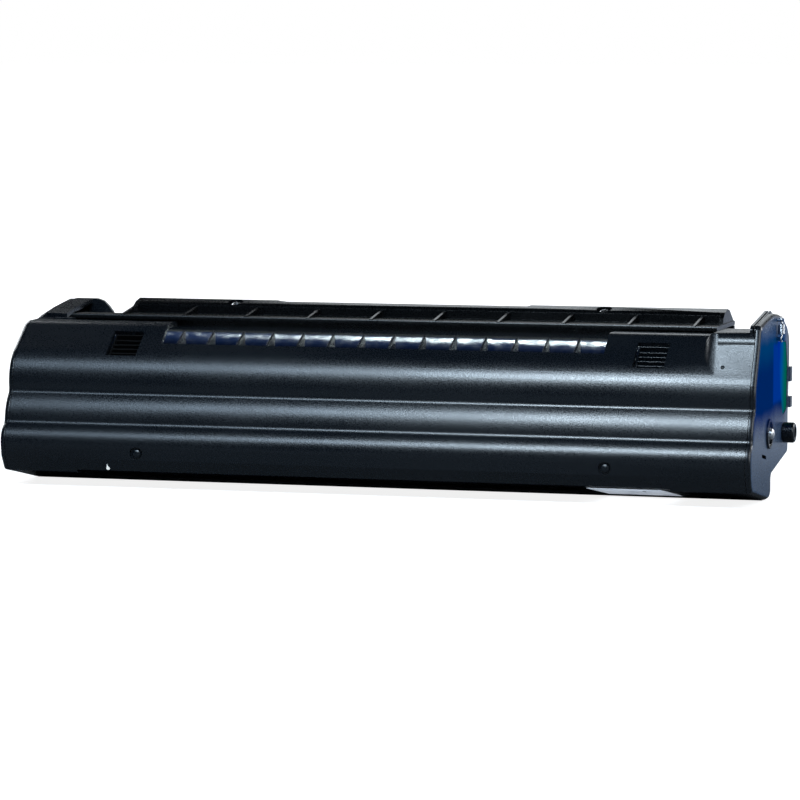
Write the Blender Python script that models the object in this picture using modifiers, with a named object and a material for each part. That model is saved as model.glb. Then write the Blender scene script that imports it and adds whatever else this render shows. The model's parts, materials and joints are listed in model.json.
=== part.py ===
"""A printer toner cartridge: toner hopper with developer roller in front, drum unit behind, end housings."""

import math

import bmesh
import bpy
from mathutils import Matrix, Vector

MM = 0.001
GAP = 0.3 * MM
RUNNING = 0.35 * MM

# Stations along X, from the hopper's bulkheads outwards
BULKHEAD_FACE = 164.0 * MM
BULKHEAD_WALL = 2.5 * MM
GEAR_WIDTH = 6.0 * MM
ARM_WALL = 3.0 * MM
ARM_ROOM = 3.1 * MM
PLATE_WALL = 2.7 * MM
BOSS_REACH = 6.0 * MM
GEAR_LOW = BULKHEAD_FACE + BULKHEAD_WALL + 4 * GAP
GEAR_HIGH = GEAR_LOW + GEAR_WIDTH
ARM_LOW = GEAR_HIGH + 4 * GAP
ARM_HIGH = ARM_LOW + ARM_WALL
SHELL_HALF = ARM_HIGH + ARM_ROOM
PLATE_LOW = SHELL_HALF + GAP
PLATE_HIGH = PLATE_LOW + PLATE_WALL

# Wave profile of the hopper, as (y, z) from the lip to the top
SHELL_WALL = 2.4 * MM
HEEL = (-6.0 * MM, 0.0 * MM)
BELLY_BACK = 13.0 * MM
BELLY_TOP = 36.5 * MM
BELLY_CORNER = -1.5 * MM
BELLY_CORNER_TOP = 21.0 * MM
LIP = (-45.3 * MM, 7.7 * MM)
TOE = (-49.3 * MM, 14.6 * MM)
BELLY_CREST = (-50.1 * MM, 20.0 * MM)
GROOVE_LOW = (-44.3 * MM, 31.6 * MM)
GROOVE_HIGH = (-37.8 * MM, 46.6 * MM)
SHOULDER = (-30.0 * MM, 66.5 * MM)
BROW = (-18.0 * MM, 75.6 * MM)
TOP_FRONT = (-11.0 * MM, 77.9 * MM)
TOP_BACK = (-2.0 * MM, 77.9 * MM)
BULGE_LOW = 1.9 * MM
BULGE_MIDDLE = 1.9 * MM
BULGE_HIGH = 3.4 * MM
BULGE_BROW = 0.8 * MM

# Raised corner block at the right end, and the low fin at its outer edge
BLOCK_FACE_X = BULKHEAD_FACE - 0.2 * MM
BLOCK_ROUND = 7.0 * MM
BLOCK_FOOT = (-37.4 * MM, 57.0 * MM)
BLOCK_FACE_TOP = (-28.2 * MM, 74.2 * MM)
BLOCK_TOP = 80.2 * MM
BLOCK_CORNER = 5.0 * MM
BLOCK_CORNER_BULGE = 1.4 * MM
FIN_WALL = 2.7 * MM
FIN_PROFILE = [
    (-23.0 * MM, 79.0 * MM),
    (-25.6 * MM, 79.0 * MM),
    (-25.4 * MM, 81.8 * MM),
    (-23.4 * MM, 83.3 * MM),
    (12.5 * MM, 87.9 * MM),
    (16.5 * MM, 86.4 * MM),
    (18.0 * MM, 81.0 * MM),
    (-1.0 * MM, 78.6 * MM),
]

# Laser slot and its ribs
SLOT_HALF = BULKHEAD_FACE - 54.5 * MM
SLOT_LIP = (-26.6 * MM, 69.4 * MM)
SLOT_FLOOR = 66.5 * MM
SLOT_RIB_PITCH = 15.1 * MM
SLOT_RIB_FIRST = 8.5 * MM - SLOT_HALF
SLOT_RIB_WALL = 1.0 * MM
SLOT_RIB_BACK = -15.0 * MM
SLOT_RIB_TOP = 74.9 * MM
SLOT_FRAME_FRONT = [(-25.5 * MM, 66.0 * MM), (-28.6 * MM, 63.6 * MM), (-28.0 * MM, 62.8 * MM)]
SLOT_FRAME_STEP = (-16.5 * MM, 62.8 * MM)
SLOT_FRAME_FOOT = (-16.0 * MM, 59.5 * MM)
SLOT_RIB_FOOT = SLOT_FRAME_STEP[1] + 2.8 * MM

# Windows with louvres
WINDOW_WIDTH = 15.4 * MM
WINDOW_LEFT = 36.5 * MM - BULKHEAD_FACE
WINDOW_RIGHT = BULKHEAD_FACE - 31.8 * MM
WINDOW_LOW = (-33.3 * MM, 63.3 * MM)
WINDOW_HIGH = (-20.0 * MM, 74.1 * MM)
LOUVRE_WALL = 0.8 * MM
LOUVRE_DEPTH = 6.0 * MM
LOUVRE_SET_BACK = 1.9 * MM
LOUVRE_SLATS = 4
SLAT_WALL = 0.9 * MM
SLAT_SET_BACK = 0.4 * MM

# Recess under the hopper and the sheet in it
RECESS_HALF = BULKHEAD_FACE - 18.5 * MM
RECESS_DEPTH = 1.1 * MM
RECESS_FRONT = 6.0 * MM
RECESS_BACK = 3.0 * MM
LABEL_RIGHT = RECESS_HALF - 1.0 * MM
LABEL_LENGTH = 39.5 * MM
LABEL_WALL = 0.4 * MM
LABEL_SLANT = 4.0 * MM
LABEL_MARGIN = 4.0 * MM

# Domed pins in the front face
PIN_Z = 17.8 * MM
PIN_LEFT = 50.0 * MM - BULKHEAD_FACE
PIN_RIGHT = BULKHEAD_FACE - 48.5 * MM
PIN_RECESS = 3.2 * MM
PIN_RADIUS = 2.3 * MM
PIN_RECESS_DEPTH = 1.3 * MM

# Drum, rollers and gears
DRUM_Y = 12.0 * MM
DRUM_Z = 57.0 * MM
DRUM_RADIUS = 15.0 * MM
DRUM_WALL = 1.0 * MM
DRUM_HALF = BULKHEAD_FACE - 3.0 * MM
DRUM_NECK = 9.0 * MM
AXLE_RADIUS = 4.0 * MM
DEVELOPER_RADIUS = 8.0 * MM
DEVELOPER_WALL = 1.0 * MM
DEVELOPER_ANGLE = math.radians(199.3)
DEVELOPER_HALF = BULKHEAD_FACE - 4.0 * MM
JOURNAL_RADIUS = 4.0 * MM
MAGNET_RADIUS = 6.0 * MM
MAGNET_SHAFT = 1.8 * MM
MAGNET_END = 9.0 * MM
HUB_DEPTH = 7.0 * MM
CHARGE_RADIUS = 6.0 * MM
CHARGE_ANGLE = math.radians(42.0)
CHARGE_SHAFT = 3.0 * MM
CHARGE_BEARING_X = BULKHEAD_FACE - 0.7 * MM
CHARGE_BEARING_WIDTH = 4.0 * MM
CHARGE_BEARING_HALF = 5.2 * MM
CHARGE_HALF = CHARGE_BEARING_X - 5.3 * MM
CHARGE_COIL = 2.2 * MM
SHAFT_RADIUS = 3.0 * MM
TOOTH_TIP = 0.85
TOOTH_ROOT = 1.15
TOOTH_CREST = 0.11
TOOTH_FOOT = 0.27
DRUM_TEETH = 32
DEVELOPER_TEETH = 14
IDLER_TEETH = 14
AGITATOR_TEETH = 24
AGITATOR_Y = -20.0 * MM
AGITATOR_Z = 20.0 * MM
AGITATOR_REACH = 11.5 * MM
PADDLE_WALL = 1.2 * MM
STUD_RADIUS = 2.4 * MM
BEARING_RADIUS = 5.0 * MM
PLUG_RADIUS = 9.0 * MM
PLUG_FLANGE = 1.5 * MM
SPRING_WIRE = 0.4 * MM

# Metering blade over the developer roller
DOCTOR_Y = -13.0 * MM
DOCTOR_LOW = 60.6 * MM
DOCTOR_HIGH = 66.3 * MM
DOCTOR_WALL = 1.2 * MM
DOCTOR_HALF = BULKHEAD_FACE - 4.0 * MM
DOCTOR_SCREW_X = DOCTOR_HALF - 4.0 * MM
DOCTOR_SCREW_Z = 63.0 * MM
DOCTOR_SCREW_RADIUS = 1.2 * MM
DOCTOR_SCREW_HEAD = 2.1 * MM
DOCTOR_BLADE_HALF = DOCTOR_SCREW_X - 6.0 * MM
DOCTOR_BLADE_TOP = 64.0 * MM
DOCTOR_BLADE_WALL = 1.0 * MM

# Cleaning blade that trails on the drum
WIPER_ANGLE = math.radians(-4.0)
WIPER_LEAN = math.radians(-55.0)
WIPER_REACH = 9.0 * MM
WIPER_WALL = 1.4 * MM
WIPER_HALF = BULKHEAD_FACE - 6.0 * MM
WIPER_STEEL = 1.2 * MM
WIPER_FOOT = (36.6 * MM, 50.2 * MM)
WIPER_GRIP = 4.0 * MM
WIPER_BRACKET_END = 8.0 * MM

# Hinge between the hopper unit and the drum unit
HINGE_Y = -5.6 * MM
HINGE_Z = 31.4 * MM
HINGE_RADIUS = 2.2 * MM
HINGE_HEAD = 2.6 * MM
HINGE_RING = 7.0 * MM
HINGE_RING_WALL = 1.3 * MM
ARM_EYE = 5.6 * MM
ARM_NOTCH_BACK = 14.0 * MM
ARM_NOTCH_FRONT = 8.4 * MM
ARM_NOTCH_DEPTH = 11.4 * MM
ARM_NOTCH_RISE = 8.6 * MM

# Drum unit frame and rear cover
RIDGE_LEFT = 24.5 * MM - BULKHEAD_FACE
RIDGE_RIGHT = BULKHEAD_FACE - 6.5 * MM
COVER_LEFT = -BULKHEAD_FACE - 0.5 * MM
COVER_RIGHT = RIDGE_RIGHT + 0.5 * MM
COVER_WALL = 2.0 * MM
COVER_FRONT = -1.0 * MM
COVER_STRIP_BACK = 12.0 * MM
COVER_TOP = 80.6 * MM
COVER_BACK = 43.4 * MM
RIDGE_FRONT = 20.0 * MM
RIDGE_RISE = 6.6 * MM
RIDGE_TOP = COVER_TOP + RIDGE_RISE
RIDGE_CROWN = [
    (RIDGE_FRONT, COVER_TOP + 3.8 * MM),
    (RIDGE_FRONT + 1.6 * MM, COVER_TOP + 5.2 * MM),
    (RIDGE_FRONT + 8.0 * MM, RIDGE_TOP),
    (RIDGE_FRONT + 13.0 * MM, RIDGE_TOP - 1.0 * MM),
]
RIDGE_END_FRONT = [(16.8 * MM, COVER_TOP), (17.2 * MM, COVER_TOP + 2.6 * MM)]
RIDGE_REAR = COVER_BACK - 0.8 * MM
RIDGE_STEP = 0.9 * MM
RIDGE_STEP_LEFT = RIDGE_LEFT + 75.0 * MM
RIDGE_STEP_RIGHT = RIDGE_RIGHT - 99.5 * MM
RIDGE_STEP_RAMP = 3.0 * MM
COVER_RIB_PITCH = 31.75 * MM
COVER_RIB_FIRST = RIDGE_LEFT + 0.5 * MM
COVER_RIB_WALL = 1.3 * MM
COVER_RIB_FRONT = 0.4 * MM
COVER_RIB_RISE = 3.4 * MM
COVER_SCREW_LEFT = RIDGE_LEFT + 51.5 * MM
COVER_SCREW_RIGHT = RIDGE_RIGHT - 59.5 * MM
COVER_SCREW_Y = 25.0 * MM
COVER_SCREW_Z = COVER_TOP + 3.4 * MM
COVER_SCREW_TILT = math.radians(18.0)
COVER_SCREW_RECESS = 3.9 * MM
COVER_SCREW_HEAD = 2.9 * MM
COVER_SCREW_SHANK = 1.4 * MM
FRAME_WALL = 2.4 * MM
FRAME_TOP = COVER_TOP - COVER_WALL - GAP
FRAME_END_TOP = 73.8 * MM
FRAME_REAR = [(COVER_BACK, 64.0 * MM), (41.6 * MM, 54.0 * MM), (39.3 * MM, 47.4 * MM)]
CROSSBAR_FRONT = 3.0 * MM
CROSSBAR_WALL = 3.0 * MM
CROSSBAR_FOOT = 73.6 * MM
ARM_TOP = 76.0 * MM
ARM_FRONT = [(-0.8 * MM, ARM_TOP), (-0.8 * MM, 58.0 * MM), (-11.2 * MM, 42.0 * MM)]
ARM_BACK = [
    (1.0 * MM, 38.6 * MM),
    (30.0 * MM, 38.2 * MM),
    (32.0 * MM, 36.4 * MM),
    (39.6 * MM, 36.4 * MM),
    (40.4 * MM, 47.0 * MM),
    (COVER_BACK, 62.0 * MM),
    (COVER_BACK, ARM_TOP),
]
SHUTTER_Y = 36.5 * MM
SHUTTER_Z = 41.0 * MM
SHUTTER_HALF = ARM_LOW - 8.9 * MM
SHUTTER_WALL = 1.6 * MM
SHUTTER_ROD = 2.0 * MM
SHUTTER_ROOT = [(SHUTTER_Y + 1.6 * MM, SHUTTER_Z - 0.6 * MM), (SHUTTER_Y - 1.5 * MM, SHUTTER_Z - 2.6 * MM)]
SHUTTER_FLAP = [(26.0 * MM, 37.9 * MM), (15.0 * MM, 38.6 * MM), (13.6 * MM, 39.6 * MM)]

# End housings, as (y, z) outlines
REAR_EDGE = [
    (48.4 * MM, 70.0 * MM),
    (48.4 * MM, 61.0 * MM),
    (47.0 * MM, 49.0 * MM),
    (45.6 * MM, 36.0 * MM),
    (46.2 * MM, 23.0 * MM),
    (45.4 * MM, 17.2 * MM),
]
UNDER_EDGE = [
    (15.0 * MM, 12.8 * MM),
    (1.2 * MM, 10.8 * MM),
    (1.4 * MM, 3.0 * MM),
    (-2.0 * MM, 0.4 * MM),
    (-6.4 * MM, 0.4 * MM),
]
RIGHT_HUMP = [
    (-25.4 * MM, 81.8 * MM),
    (-23.4 * MM, 83.3 * MM),
    (-10.6 * MM, 85.2 * MM),
    (4.0 * MM, 86.8 * MM),
    (10.0 * MM, 86.9 * MM),
    (24.0 * MM, 85.4 * MM),
    (31.0 * MM, 84.1 * MM),
    (42.0 * MM, 79.2 * MM),
    (47.0 * MM, 74.6 * MM),
]
LEFT_HUMP_FRONT = (-1.0 * MM, 78.1 * MM)
LEFT_HUMP = [(6.0 * MM, 79.8 * MM), (22.0 * MM, 82.4 * MM), (44.0 * MM, 85.0 * MM), (47.0 * MM, 83.6 * MM)]
LEFT_RIM_FRONT = (8.0 * MM, 80.1 * MM)
LEFT_WALL_FRONT = 45.0 * MM
LEFT_WALL_BACK = 47.0 * MM
LEFT_WALL_LOW = 75.6 * MM
LEFT_WALL_HIGH = 84.2 * MM
LEFT_WALL_REACH = BULKHEAD_FACE - 4.0 * MM
RIM_WALL = 2.2 * MM
REAR_RIM_DEPTH = 12.5 * MM
LEFT_HUMP_DEPTH = 10.6 * MM
BOSS_Y = 31.0 * MM
BOSS_Z = 28.6 * MM
BOSS_RADIUS = 4.9 * MM
BOSS_BORE = 2.6 * MM
BOSS_SPIGOT = 3.6 * MM
KEY_SLOT = [(-22.0 * MM, 21.7 * MM), (-13.8 * MM, 20.3 * MM), (-13.8 * MM, 21.6 * MM), (-22.0 * MM, 23.0 * MM)]
SIDE_PANEL = [
    (15.0 * MM, 73.5 * MM),
    (38.0 * MM, 71.5 * MM),
    (41.5 * MM, 60.0 * MM),
    (40.5 * MM, 39.0 * MM),
    (30.0 * MM, 36.8 * MM),
    (23.0 * MM, 50.0 * MM),
]
SIDE_PANEL_DEPTH = 0.6 * MM
COLLAR_RISE = 0.9 * MM
LUG_FRONT = 41.5 * MM
LUG_BACK = 46.2 * MM
LUG_RISE = 1.6 * MM
LUGS = {"upper": (52.0 * MM, 59.0 * MM), "lower": (39.6 * MM, 44.8 * MM)}
SPRING_Y = 13.0 * MM
SPRING_TOP = {-1: 78.4 * MM, 1: 83.6 * MM}
SPRING_SPAN = 9.0 * MM
SPRING_PEG = 0.9 * MM
SPRING_PEG_REACH = 3.4 * MM
SPRING_COIL = 1.3 * MM

BLACK = (0.012, 0.016, 0.022)
ROUND_STEPS = 20
HOLE_STEPS = 16


def fresh_scene():
    for obj in list(bpy.data.objects):
        bpy.data.objects.remove(obj, do_unlink=True)
    parts = bpy.data.collections.new("toner_cartridge")
    cutters = bpy.data.collections.new("cutters")
    bpy.context.scene.collection.children.link(parts)
    bpy.context.scene.collection.children.link(cutters)
    return parts, cutters


PARTS, CUTTERS = fresh_scene()


def material(name, colour, roughness, metallic=0.0):
    made = bpy.data.materials.new(name)
    made.use_nodes = True
    shader = made.node_tree.nodes["Principled BSDF"]
    shader.inputs["Base Color"].default_value = (*colour, 1.0)
    shader.inputs["Roughness"].default_value = roughness
    shader.inputs["Metallic"].default_value = metallic
    return made


PLASTIC = material("black_plastic", BLACK, 0.42)
INNER_PLASTIC = material("inner_black_plastic", (0.010, 0.010, 0.012), 0.5)
GEAR_PLASTIC = material("white_gear_plastic", (0.72, 0.71, 0.66), 0.4)
DRUM_COATING = material("drum_coating", (0.02, 0.05, 0.12), 0.15)
RUBBER = material("black_rubber", (0.02, 0.02, 0.02), 0.6)
SLEEVE = material("developer_sleeve_metal", (0.12, 0.12, 0.13), 0.5, 0.6)
STEEL = material("steel", (0.62, 0.63, 0.65), 0.25, 1.0)
BLADE_RUBBER = material("blade_urethane", (0.62, 0.42, 0.16), 0.4)
PAPER = material("white_paper", (0.75, 0.77, 0.80), 0.5)


def keep(obj, finish):
    """Puts a finished object in the parts collection with its material."""
    for owner in list(obj.users_collection):
        owner.objects.unlink(obj)
    PARTS.objects.link(obj)
    obj.data.materials.clear()
    obj.data.materials.append(finish)
    if obj.type == "MESH":
        obj.data.shade_smooth()
        obj.data.set_sharp_from_angle(angle=math.radians(35))
    return obj


def helper(obj):
    """Puts a cutter out of the render, in the cutters collection."""
    for owner in list(obj.users_collection):
        owner.objects.unlink(obj)
    CUTTERS.objects.link(obj)
    obj.hide_render = True
    obj.display_type = "WIRE"
    return obj


def from_bmesh(name, mesh_data):
    bmesh.ops.recalc_face_normals(mesh_data, faces=mesh_data.faces)
    mesh = bpy.data.meshes.new(name)
    mesh_data.to_mesh(mesh)
    mesh_data.free()
    obj = bpy.data.objects.new(name, mesh)
    bpy.context.scene.collection.objects.link(obj)
    return obj


def slab(name, outlines, x_low, x_high):
    """A flat outline in the YZ plane, with holes as further outlines, extruded along X."""
    curve = bpy.data.curves.new(name, "CURVE")
    curve.dimensions = "2D"
    curve.fill_mode = "BOTH"
    curve.extrude = (x_high - x_low) / 2
    for outline in outlines:
        spline = curve.splines.new("POLY")
        spline.points.add(len(outline) - 1)
        for point, (y, z) in zip(spline.points, outline):
            point.co = (y, z, 0, 1)
        spline.use_cyclic_u = True
    guide = bpy.data.objects.new(name + "_outline", curve)
    bpy.context.scene.collection.objects.link(guide)
    bpy.context.view_layer.update()
    graph = bpy.context.evaluated_depsgraph_get()
    mesh = bpy.data.meshes.new_from_object(guide.evaluated_get(graph))
    bpy.data.objects.remove(guide, do_unlink=True)
    solid = bmesh.new()
    solid.from_mesh(mesh)
    bmesh.ops.remove_doubles(solid, verts=solid.verts, dist=1e-6)
    upright = Matrix(((0, 0, 1, (x_low + x_high) / 2), (1, 0, 0, 0), (0, 1, 0, 0), (0, 0, 0, 1)))
    bmesh.ops.transform(solid, matrix=upright, verts=solid.verts)
    return from_bmesh(name, solid)


def prism(name, corners, way):
    """A flat face of (x, y, z) corners, extruded along way."""
    mesh_data = bmesh.new()
    face = mesh_data.faces.new([mesh_data.verts.new(corner) for corner in corners])
    moved = bmesh.ops.extrude_face_region(mesh_data, geom=[face])["geom"]
    far = [item for item in moved if isinstance(item, bmesh.types.BMVert)]
    bmesh.ops.translate(mesh_data, verts=far, vec=way)
    return from_bmesh(name, mesh_data)


def shell(name, path, x_low, x_high, wall):
    """An open path in the YZ plane, swept along X and thickened to its right-hand side."""
    mesh_data = bmesh.new()
    line = [mesh_data.verts.new((x_low, y, z)) for y, z in path]
    edges = [mesh_data.edges.new(pair) for pair in zip(line, line[1:])]
    swept = bmesh.ops.extrude_edge_only(mesh_data, edges=edges)["geom"]
    moved = [item for item in swept if isinstance(item, bmesh.types.BMVert)]
    bmesh.ops.translate(mesh_data, verts=moved, vec=(x_high - x_low, 0, 0))
    mesh_data.normal_update()
    first = Vector(path[1]) - Vector(path[0])
    outward = Vector((0, -first.y, first.x))
    if line[0].link_faces[0].normal.dot(outward) < 0:
        bmesh.ops.reverse_faces(mesh_data, faces=mesh_data.faces)
    mesh = bpy.data.meshes.new(name)
    mesh_data.to_mesh(mesh)
    mesh_data.free()
    obj = bpy.data.objects.new(name, mesh)
    bpy.context.scene.collection.objects.link(obj)
    thick = obj.modifiers.new("wall", "SOLIDIFY")
    thick.thickness = wall
    thick.offset = -1
    thick.use_even_offset = True
    return obj


def turned(name, profile, x, y, z, steps=ROUND_STEPS, tilt=None):
    """A profile of (along, radius), turned about an axis through (x, y, z) that runs along X."""
    mesh = bpy.data.meshes.new(name)
    points = [(radius, 0, along) for along, radius in profile]
    closed = profile[0][1] > 0
    count = len(points)
    pairs = [(i, (i + 1) % count) for i in range(count if closed else count - 1)]
    mesh.from_pydata(points, pairs, [])
    obj = bpy.data.objects.new(name, mesh)
    bpy.context.scene.collection.objects.link(obj)
    spin = obj.modifiers.new("turn", "SCREW")
    spin.axis = "Z"
    spin.steps = steps
    spin.render_steps = steps
    spin.use_merge_vertices = True
    spin.merge_threshold = 1e-6
    obj.rotation_euler = tilt or (0, math.pi / 2, 0)
    obj.location = (x, y, z)
    return obj


def rod(name, radius, x_low, x_high, y, z, steps=HOLE_STEPS):
    """A cylinder along X."""
    mesh_data = bmesh.new()
    turn = Matrix.Translation(((x_low + x_high) / 2, y, z)) @ Matrix.Rotation(math.pi / 2, 4, "Y")
    bmesh.ops.create_cone(
        mesh_data, cap_ends=True, segments=steps, radius1=radius, radius2=radius, depth=x_high - x_low, matrix=turn
    )
    return from_bmesh(name, mesh_data)


def box(name, low, high, turn=None, about=None):
    """A box between two corners, which may be turned about a point."""
    mesh_data = bmesh.new()
    size = [b - a for a, b in zip(low, high)]
    middle = Vector([(a + b) / 2 for a, b in zip(low, high)])
    place = Matrix.Translation(middle) @ Matrix.Diagonal((*size, 1))
    if turn is not None:
        pivot = Vector(about)
        place = Matrix.Translation(pivot) @ Matrix.Rotation(turn, 4, "X") @ Matrix.Translation(-pivot) @ place
    bmesh.ops.create_cube(mesh_data, size=1, matrix=place)
    return from_bmesh(name, mesh_data)


def boolean(obj, other, operation):
    step = obj.modifiers.new(other.name, "BOOLEAN")
    step.operation = operation
    step.object = helper(other)
    return obj


def cut(obj, other):
    return boolean(obj, other, "DIFFERENCE")


def join(obj, other):
    return boolean(obj, other, "UNION")


def arc(start, end, bulge, steps):
    """Points after start up to end on an arc that bulges to the left of the way from start to end."""
    a = Vector(start)
    b = Vector(end)
    chord = b - a
    left = Vector((-chord.y, chord.x)).normalized()
    radius = (chord.length_squared / 4 + bulge * bulge) / (2 * bulge)
    centre = (a + b) / 2 + left * (bulge - radius)
    half = math.asin(min(1.0, chord.length / 2 / radius))
    first = (a - centre).angle_signed(Vector((1, 0)))
    turn = -2 * half
    points = []
    for i in range(1, steps + 1):
        angle = first + turn * i / steps
        points.append((centre.x + radius * math.cos(angle), centre.y + radius * math.sin(angle)))
    return points


def polar(y, z, radius, angle):
    return y + radius * math.cos(angle), z + radius * math.sin(angle)


def ring(y, z, radius, steps=HOLE_STEPS):
    return [polar(y, z, radius, 2 * math.pi * i / steps) for i in range(steps)]


def inset(path, depth):
    """The path moved to its right-hand side by depth, with mitred corners."""
    points = [Vector(point) for point in path]
    moved = []
    for i, point in enumerate(points):
        before = (point - points[i - 1]).normalized() if i else None
        after = (points[i + 1] - point).normalized() if i + 1 < len(points) else None
        before = before or after
        after = after or before
        right = Vector((before.y, -before.x)) + Vector((after.y, -after.x))
        right.normalize()
        share = right.dot(Vector((before.y, -before.x)))
        moved.append(tuple(point + right * (depth / share)))
    return moved


def both_ends(low, high):
    """The two stations of each end, as (side, word, lower X, higher X)."""
    return [(-1, "left", -high, -low), (1, "right", low, high)]


def wave():
    """The front of the hopper, from the lip to the flat top."""
    path = [LIP, TOE, BELLY_CREST]
    path += arc(BELLY_CREST, GROOVE_LOW, BULGE_LOW, 5)
    path += arc(GROOVE_LOW, GROOVE_HIGH, BULGE_MIDDLE, 5)
    path += arc(GROOVE_HIGH, SHOULDER, BULGE_HIGH, 7)
    path += [BROW]
    path += arc(BROW, TOP_FRONT, BULGE_BROW, 3)
    return path


def front_y(z):
    """The wave's y at a height."""
    path = wave()
    for (y0, z0), (y1, z1) in zip(path, path[1:]):
        if z0 <= z <= z1:
            return y0 + (y1 - y0) * (z - z0) / (z1 - z0)
    raise ValueError("height outside the wave")


DEVELOPER_Y, DEVELOPER_Z = polar(DRUM_Y, DRUM_Z, DRUM_RADIUS + DEVELOPER_RADIUS + GAP, DEVELOPER_ANGLE)
CHARGE_Y, CHARGE_Z = polar(DRUM_Y, DRUM_Z, DRUM_RADIUS + CHARGE_RADIUS + GAP, CHARGE_ANGLE)
MODULE = 2 * (DRUM_RADIUS + DEVELOPER_RADIUS + GAP) / (DRUM_TEETH + DEVELOPER_TEETH)
PIN_Y = front_y(PIN_Z)
WINDOW_SLOPE = math.atan2(WINDOW_HIGH[1] - WINDOW_LOW[1], WINDOW_HIGH[0] - WINDOW_LOW[0])
WINDOW_RUN = math.dist(WINDOW_LOW, WINDOW_HIGH)


def idler_place():
    """The idler's axis, in mesh with both the developer gear and the agitator gear, on the front side."""
    first = MODULE * (DEVELOPER_TEETH + IDLER_TEETH) / 2
    second = MODULE * (IDLER_TEETH + AGITATOR_TEETH) / 2
    start = Vector((DEVELOPER_Y, DEVELOPER_Z))
    way = Vector((AGITATOR_Y, AGITATOR_Z)) - start
    along = (first * first - second * second + way.length_squared) / (2 * way.length)
    side = math.sqrt(first * first - along * along)
    unit = way.normalized()
    return tuple(start + unit * along + Vector((unit.y, -unit.x)) * side)


IDLER_Y, IDLER_Z = idler_place()


def gear(teeth, y, z, bore, phase):
    """Outlines of a spur gear: slim teeth with backlash, and its bore."""
    pitch_radius = MODULE * teeth / 2
    tip = pitch_radius + TOOTH_TIP * MODULE
    root = pitch_radius - TOOTH_ROOT * MODULE
    step = 2 * math.pi / teeth
    corners = ((root, -TOOTH_FOOT), (tip, -TOOTH_CREST), (tip, TOOTH_CREST), (root, TOOTH_FOOT))
    outline = []
    for i in range(teeth):
        outline += [polar(y, z, radius, phase + (i + share) * step) for radius, share in corners]
    return [outline, ring(y, z, bore)]


def mesh_phase(y, z, other_y, other_z, teeth, other_teeth, other_phase):
    """The turn that puts a gap of this gear opposite a tooth of the other."""
    towards = math.atan2(z - other_z, y - other_y)
    other_step = 2 * math.pi / other_teeth
    offset = ((towards - other_phase) / other_step) % 1.0
    back = towards + math.pi
    step = 2 * math.pi / teeth
    return back + step * (offset + 0.5)


def developer_phase():
    return mesh_phase(DEVELOPER_Y, DEVELOPER_Z, DRUM_Y, DRUM_Z, DEVELOPER_TEETH, DRUM_TEETH, 0.0)


def idler_phase():
    return mesh_phase(IDLER_Y, IDLER_Z, DEVELOPER_Y, DEVELOPER_Z, IDLER_TEETH, DEVELOPER_TEETH, developer_phase())


def agitator_phase():
    return mesh_phase(AGITATOR_Y, AGITATOR_Z, IDLER_Y, IDLER_Z, AGITATOR_TEETH, IDLER_TEETH, idler_phase())


def hopper():
    """The wave-fronted shell with its bulkheads, corner block, slot, windows and recesses."""
    bottom = [(BELLY_BACK, BELLY_TOP), (BELLY_BACK, 0.0), HEEL]
    path = [(HINGE_Y + 3 * MM, BELLY_TOP)] + bottom + wave() + [TOP_BACK]
    body = shell("toner_hopper", path, -SHELL_HALF, SHELL_HALF, SHELL_WALL)
    section = inset(path, SHELL_WALL / 2) + [(TOP_BACK[0], BELLY_TOP + 4 * MM)]
    for side, word, low, high in both_ends(BULKHEAD_FACE, BULKHEAD_FACE + BULKHEAD_WALL):
        holes = [ring(DEVELOPER_Y, DEVELOPER_Z, BEARING_RADIUS + GAP)]
        if side > 0:
            holes.append(ring(AGITATOR_Y, AGITATOR_Z, SHAFT_RADIUS + RUNNING))
            holes.append(ring(IDLER_Y, IDLER_Z, STUD_RADIUS + GAP))
        else:
            holes.append(ring(AGITATOR_Y, AGITATOR_Z, PLUG_RADIUS + GAP))
        join(body, slab(f"bulkhead_{word}", [section] + holes, low, high))
    join(body, corner_block())
    join(body, slab("block_fin", [FIN_PROFILE], SHELL_HALF - FIN_WALL, SHELL_HALF))
    cut(body, box("slot_cutter", (-SLOT_HALF, SLOT_LIP[0], SLOT_FLOOR), (SLOT_HALF, 1 * MM, BLOCK_TOP)))
    for centre, word in ((WINDOW_LEFT, "left"), (WINDOW_RIGHT, "right")):
        cut(body, window_cutter(f"window_cutter_{word}", centre))
    for centre, word in ((PIN_LEFT, "left"), (PIN_RIGHT, "right")):
        cut(body, pin_recess(f"pin_recess_{word}", centre))
    front = HINGE_Y - ARM_NOTCH_FRONT
    low_z = HINGE_Z - ARM_NOTCH_DEPTH
    for side, word, low, high in both_ends(ARM_LOW - 4 * GAP, SHELL_HALF + 1 * MM):
        corner = (high, HINGE_Y + ARM_NOTCH_BACK, HINGE_Z + ARM_NOTCH_RISE)
        cut(body, box(f"arm_notch_{word}", (low, front, low_z), corner))
    for side, word, low, high in both_ends(BULKHEAD_FACE + BULKHEAD_WALL, SHELL_HALF + 1 * MM):
        corner = (high, BELLY_BACK + 1 * MM, BELLY_CORNER_TOP)
        cut(body, box(f"belly_corner_{word}", (low, BELLY_CORNER, -1 * MM), corner))
    cut(body, underside_cutter())
    return keep(body, PLASTIC)


def window_cutter(name, centre):
    low = (centre - WINDOW_WIDTH / 2, WINDOW_LOW[0], WINDOW_LOW[1] - 5 * MM)
    high = (centre + WINDOW_WIDTH / 2, WINDOW_LOW[0] + WINDOW_RUN, WINDOW_LOW[1] + 5 * MM)
    return box(name, low, high, WINDOW_SLOPE, (0, *WINDOW_LOW))


def underside_cutter():
    fall = math.atan2(LIP[1] - HEEL[1], HEEL[0] - LIP[0])
    low = (-RECESS_HALF, LIP[0] - RECESS_FRONT, LIP[1] - 4 * MM)
    high = (RECESS_HALF, LIP[0] + math.dist(LIP, HEEL) - RECESS_BACK, LIP[1] + RECESS_DEPTH)
    return box("underside_cutter", low, high, -fall, (0, *LIP))


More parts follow.
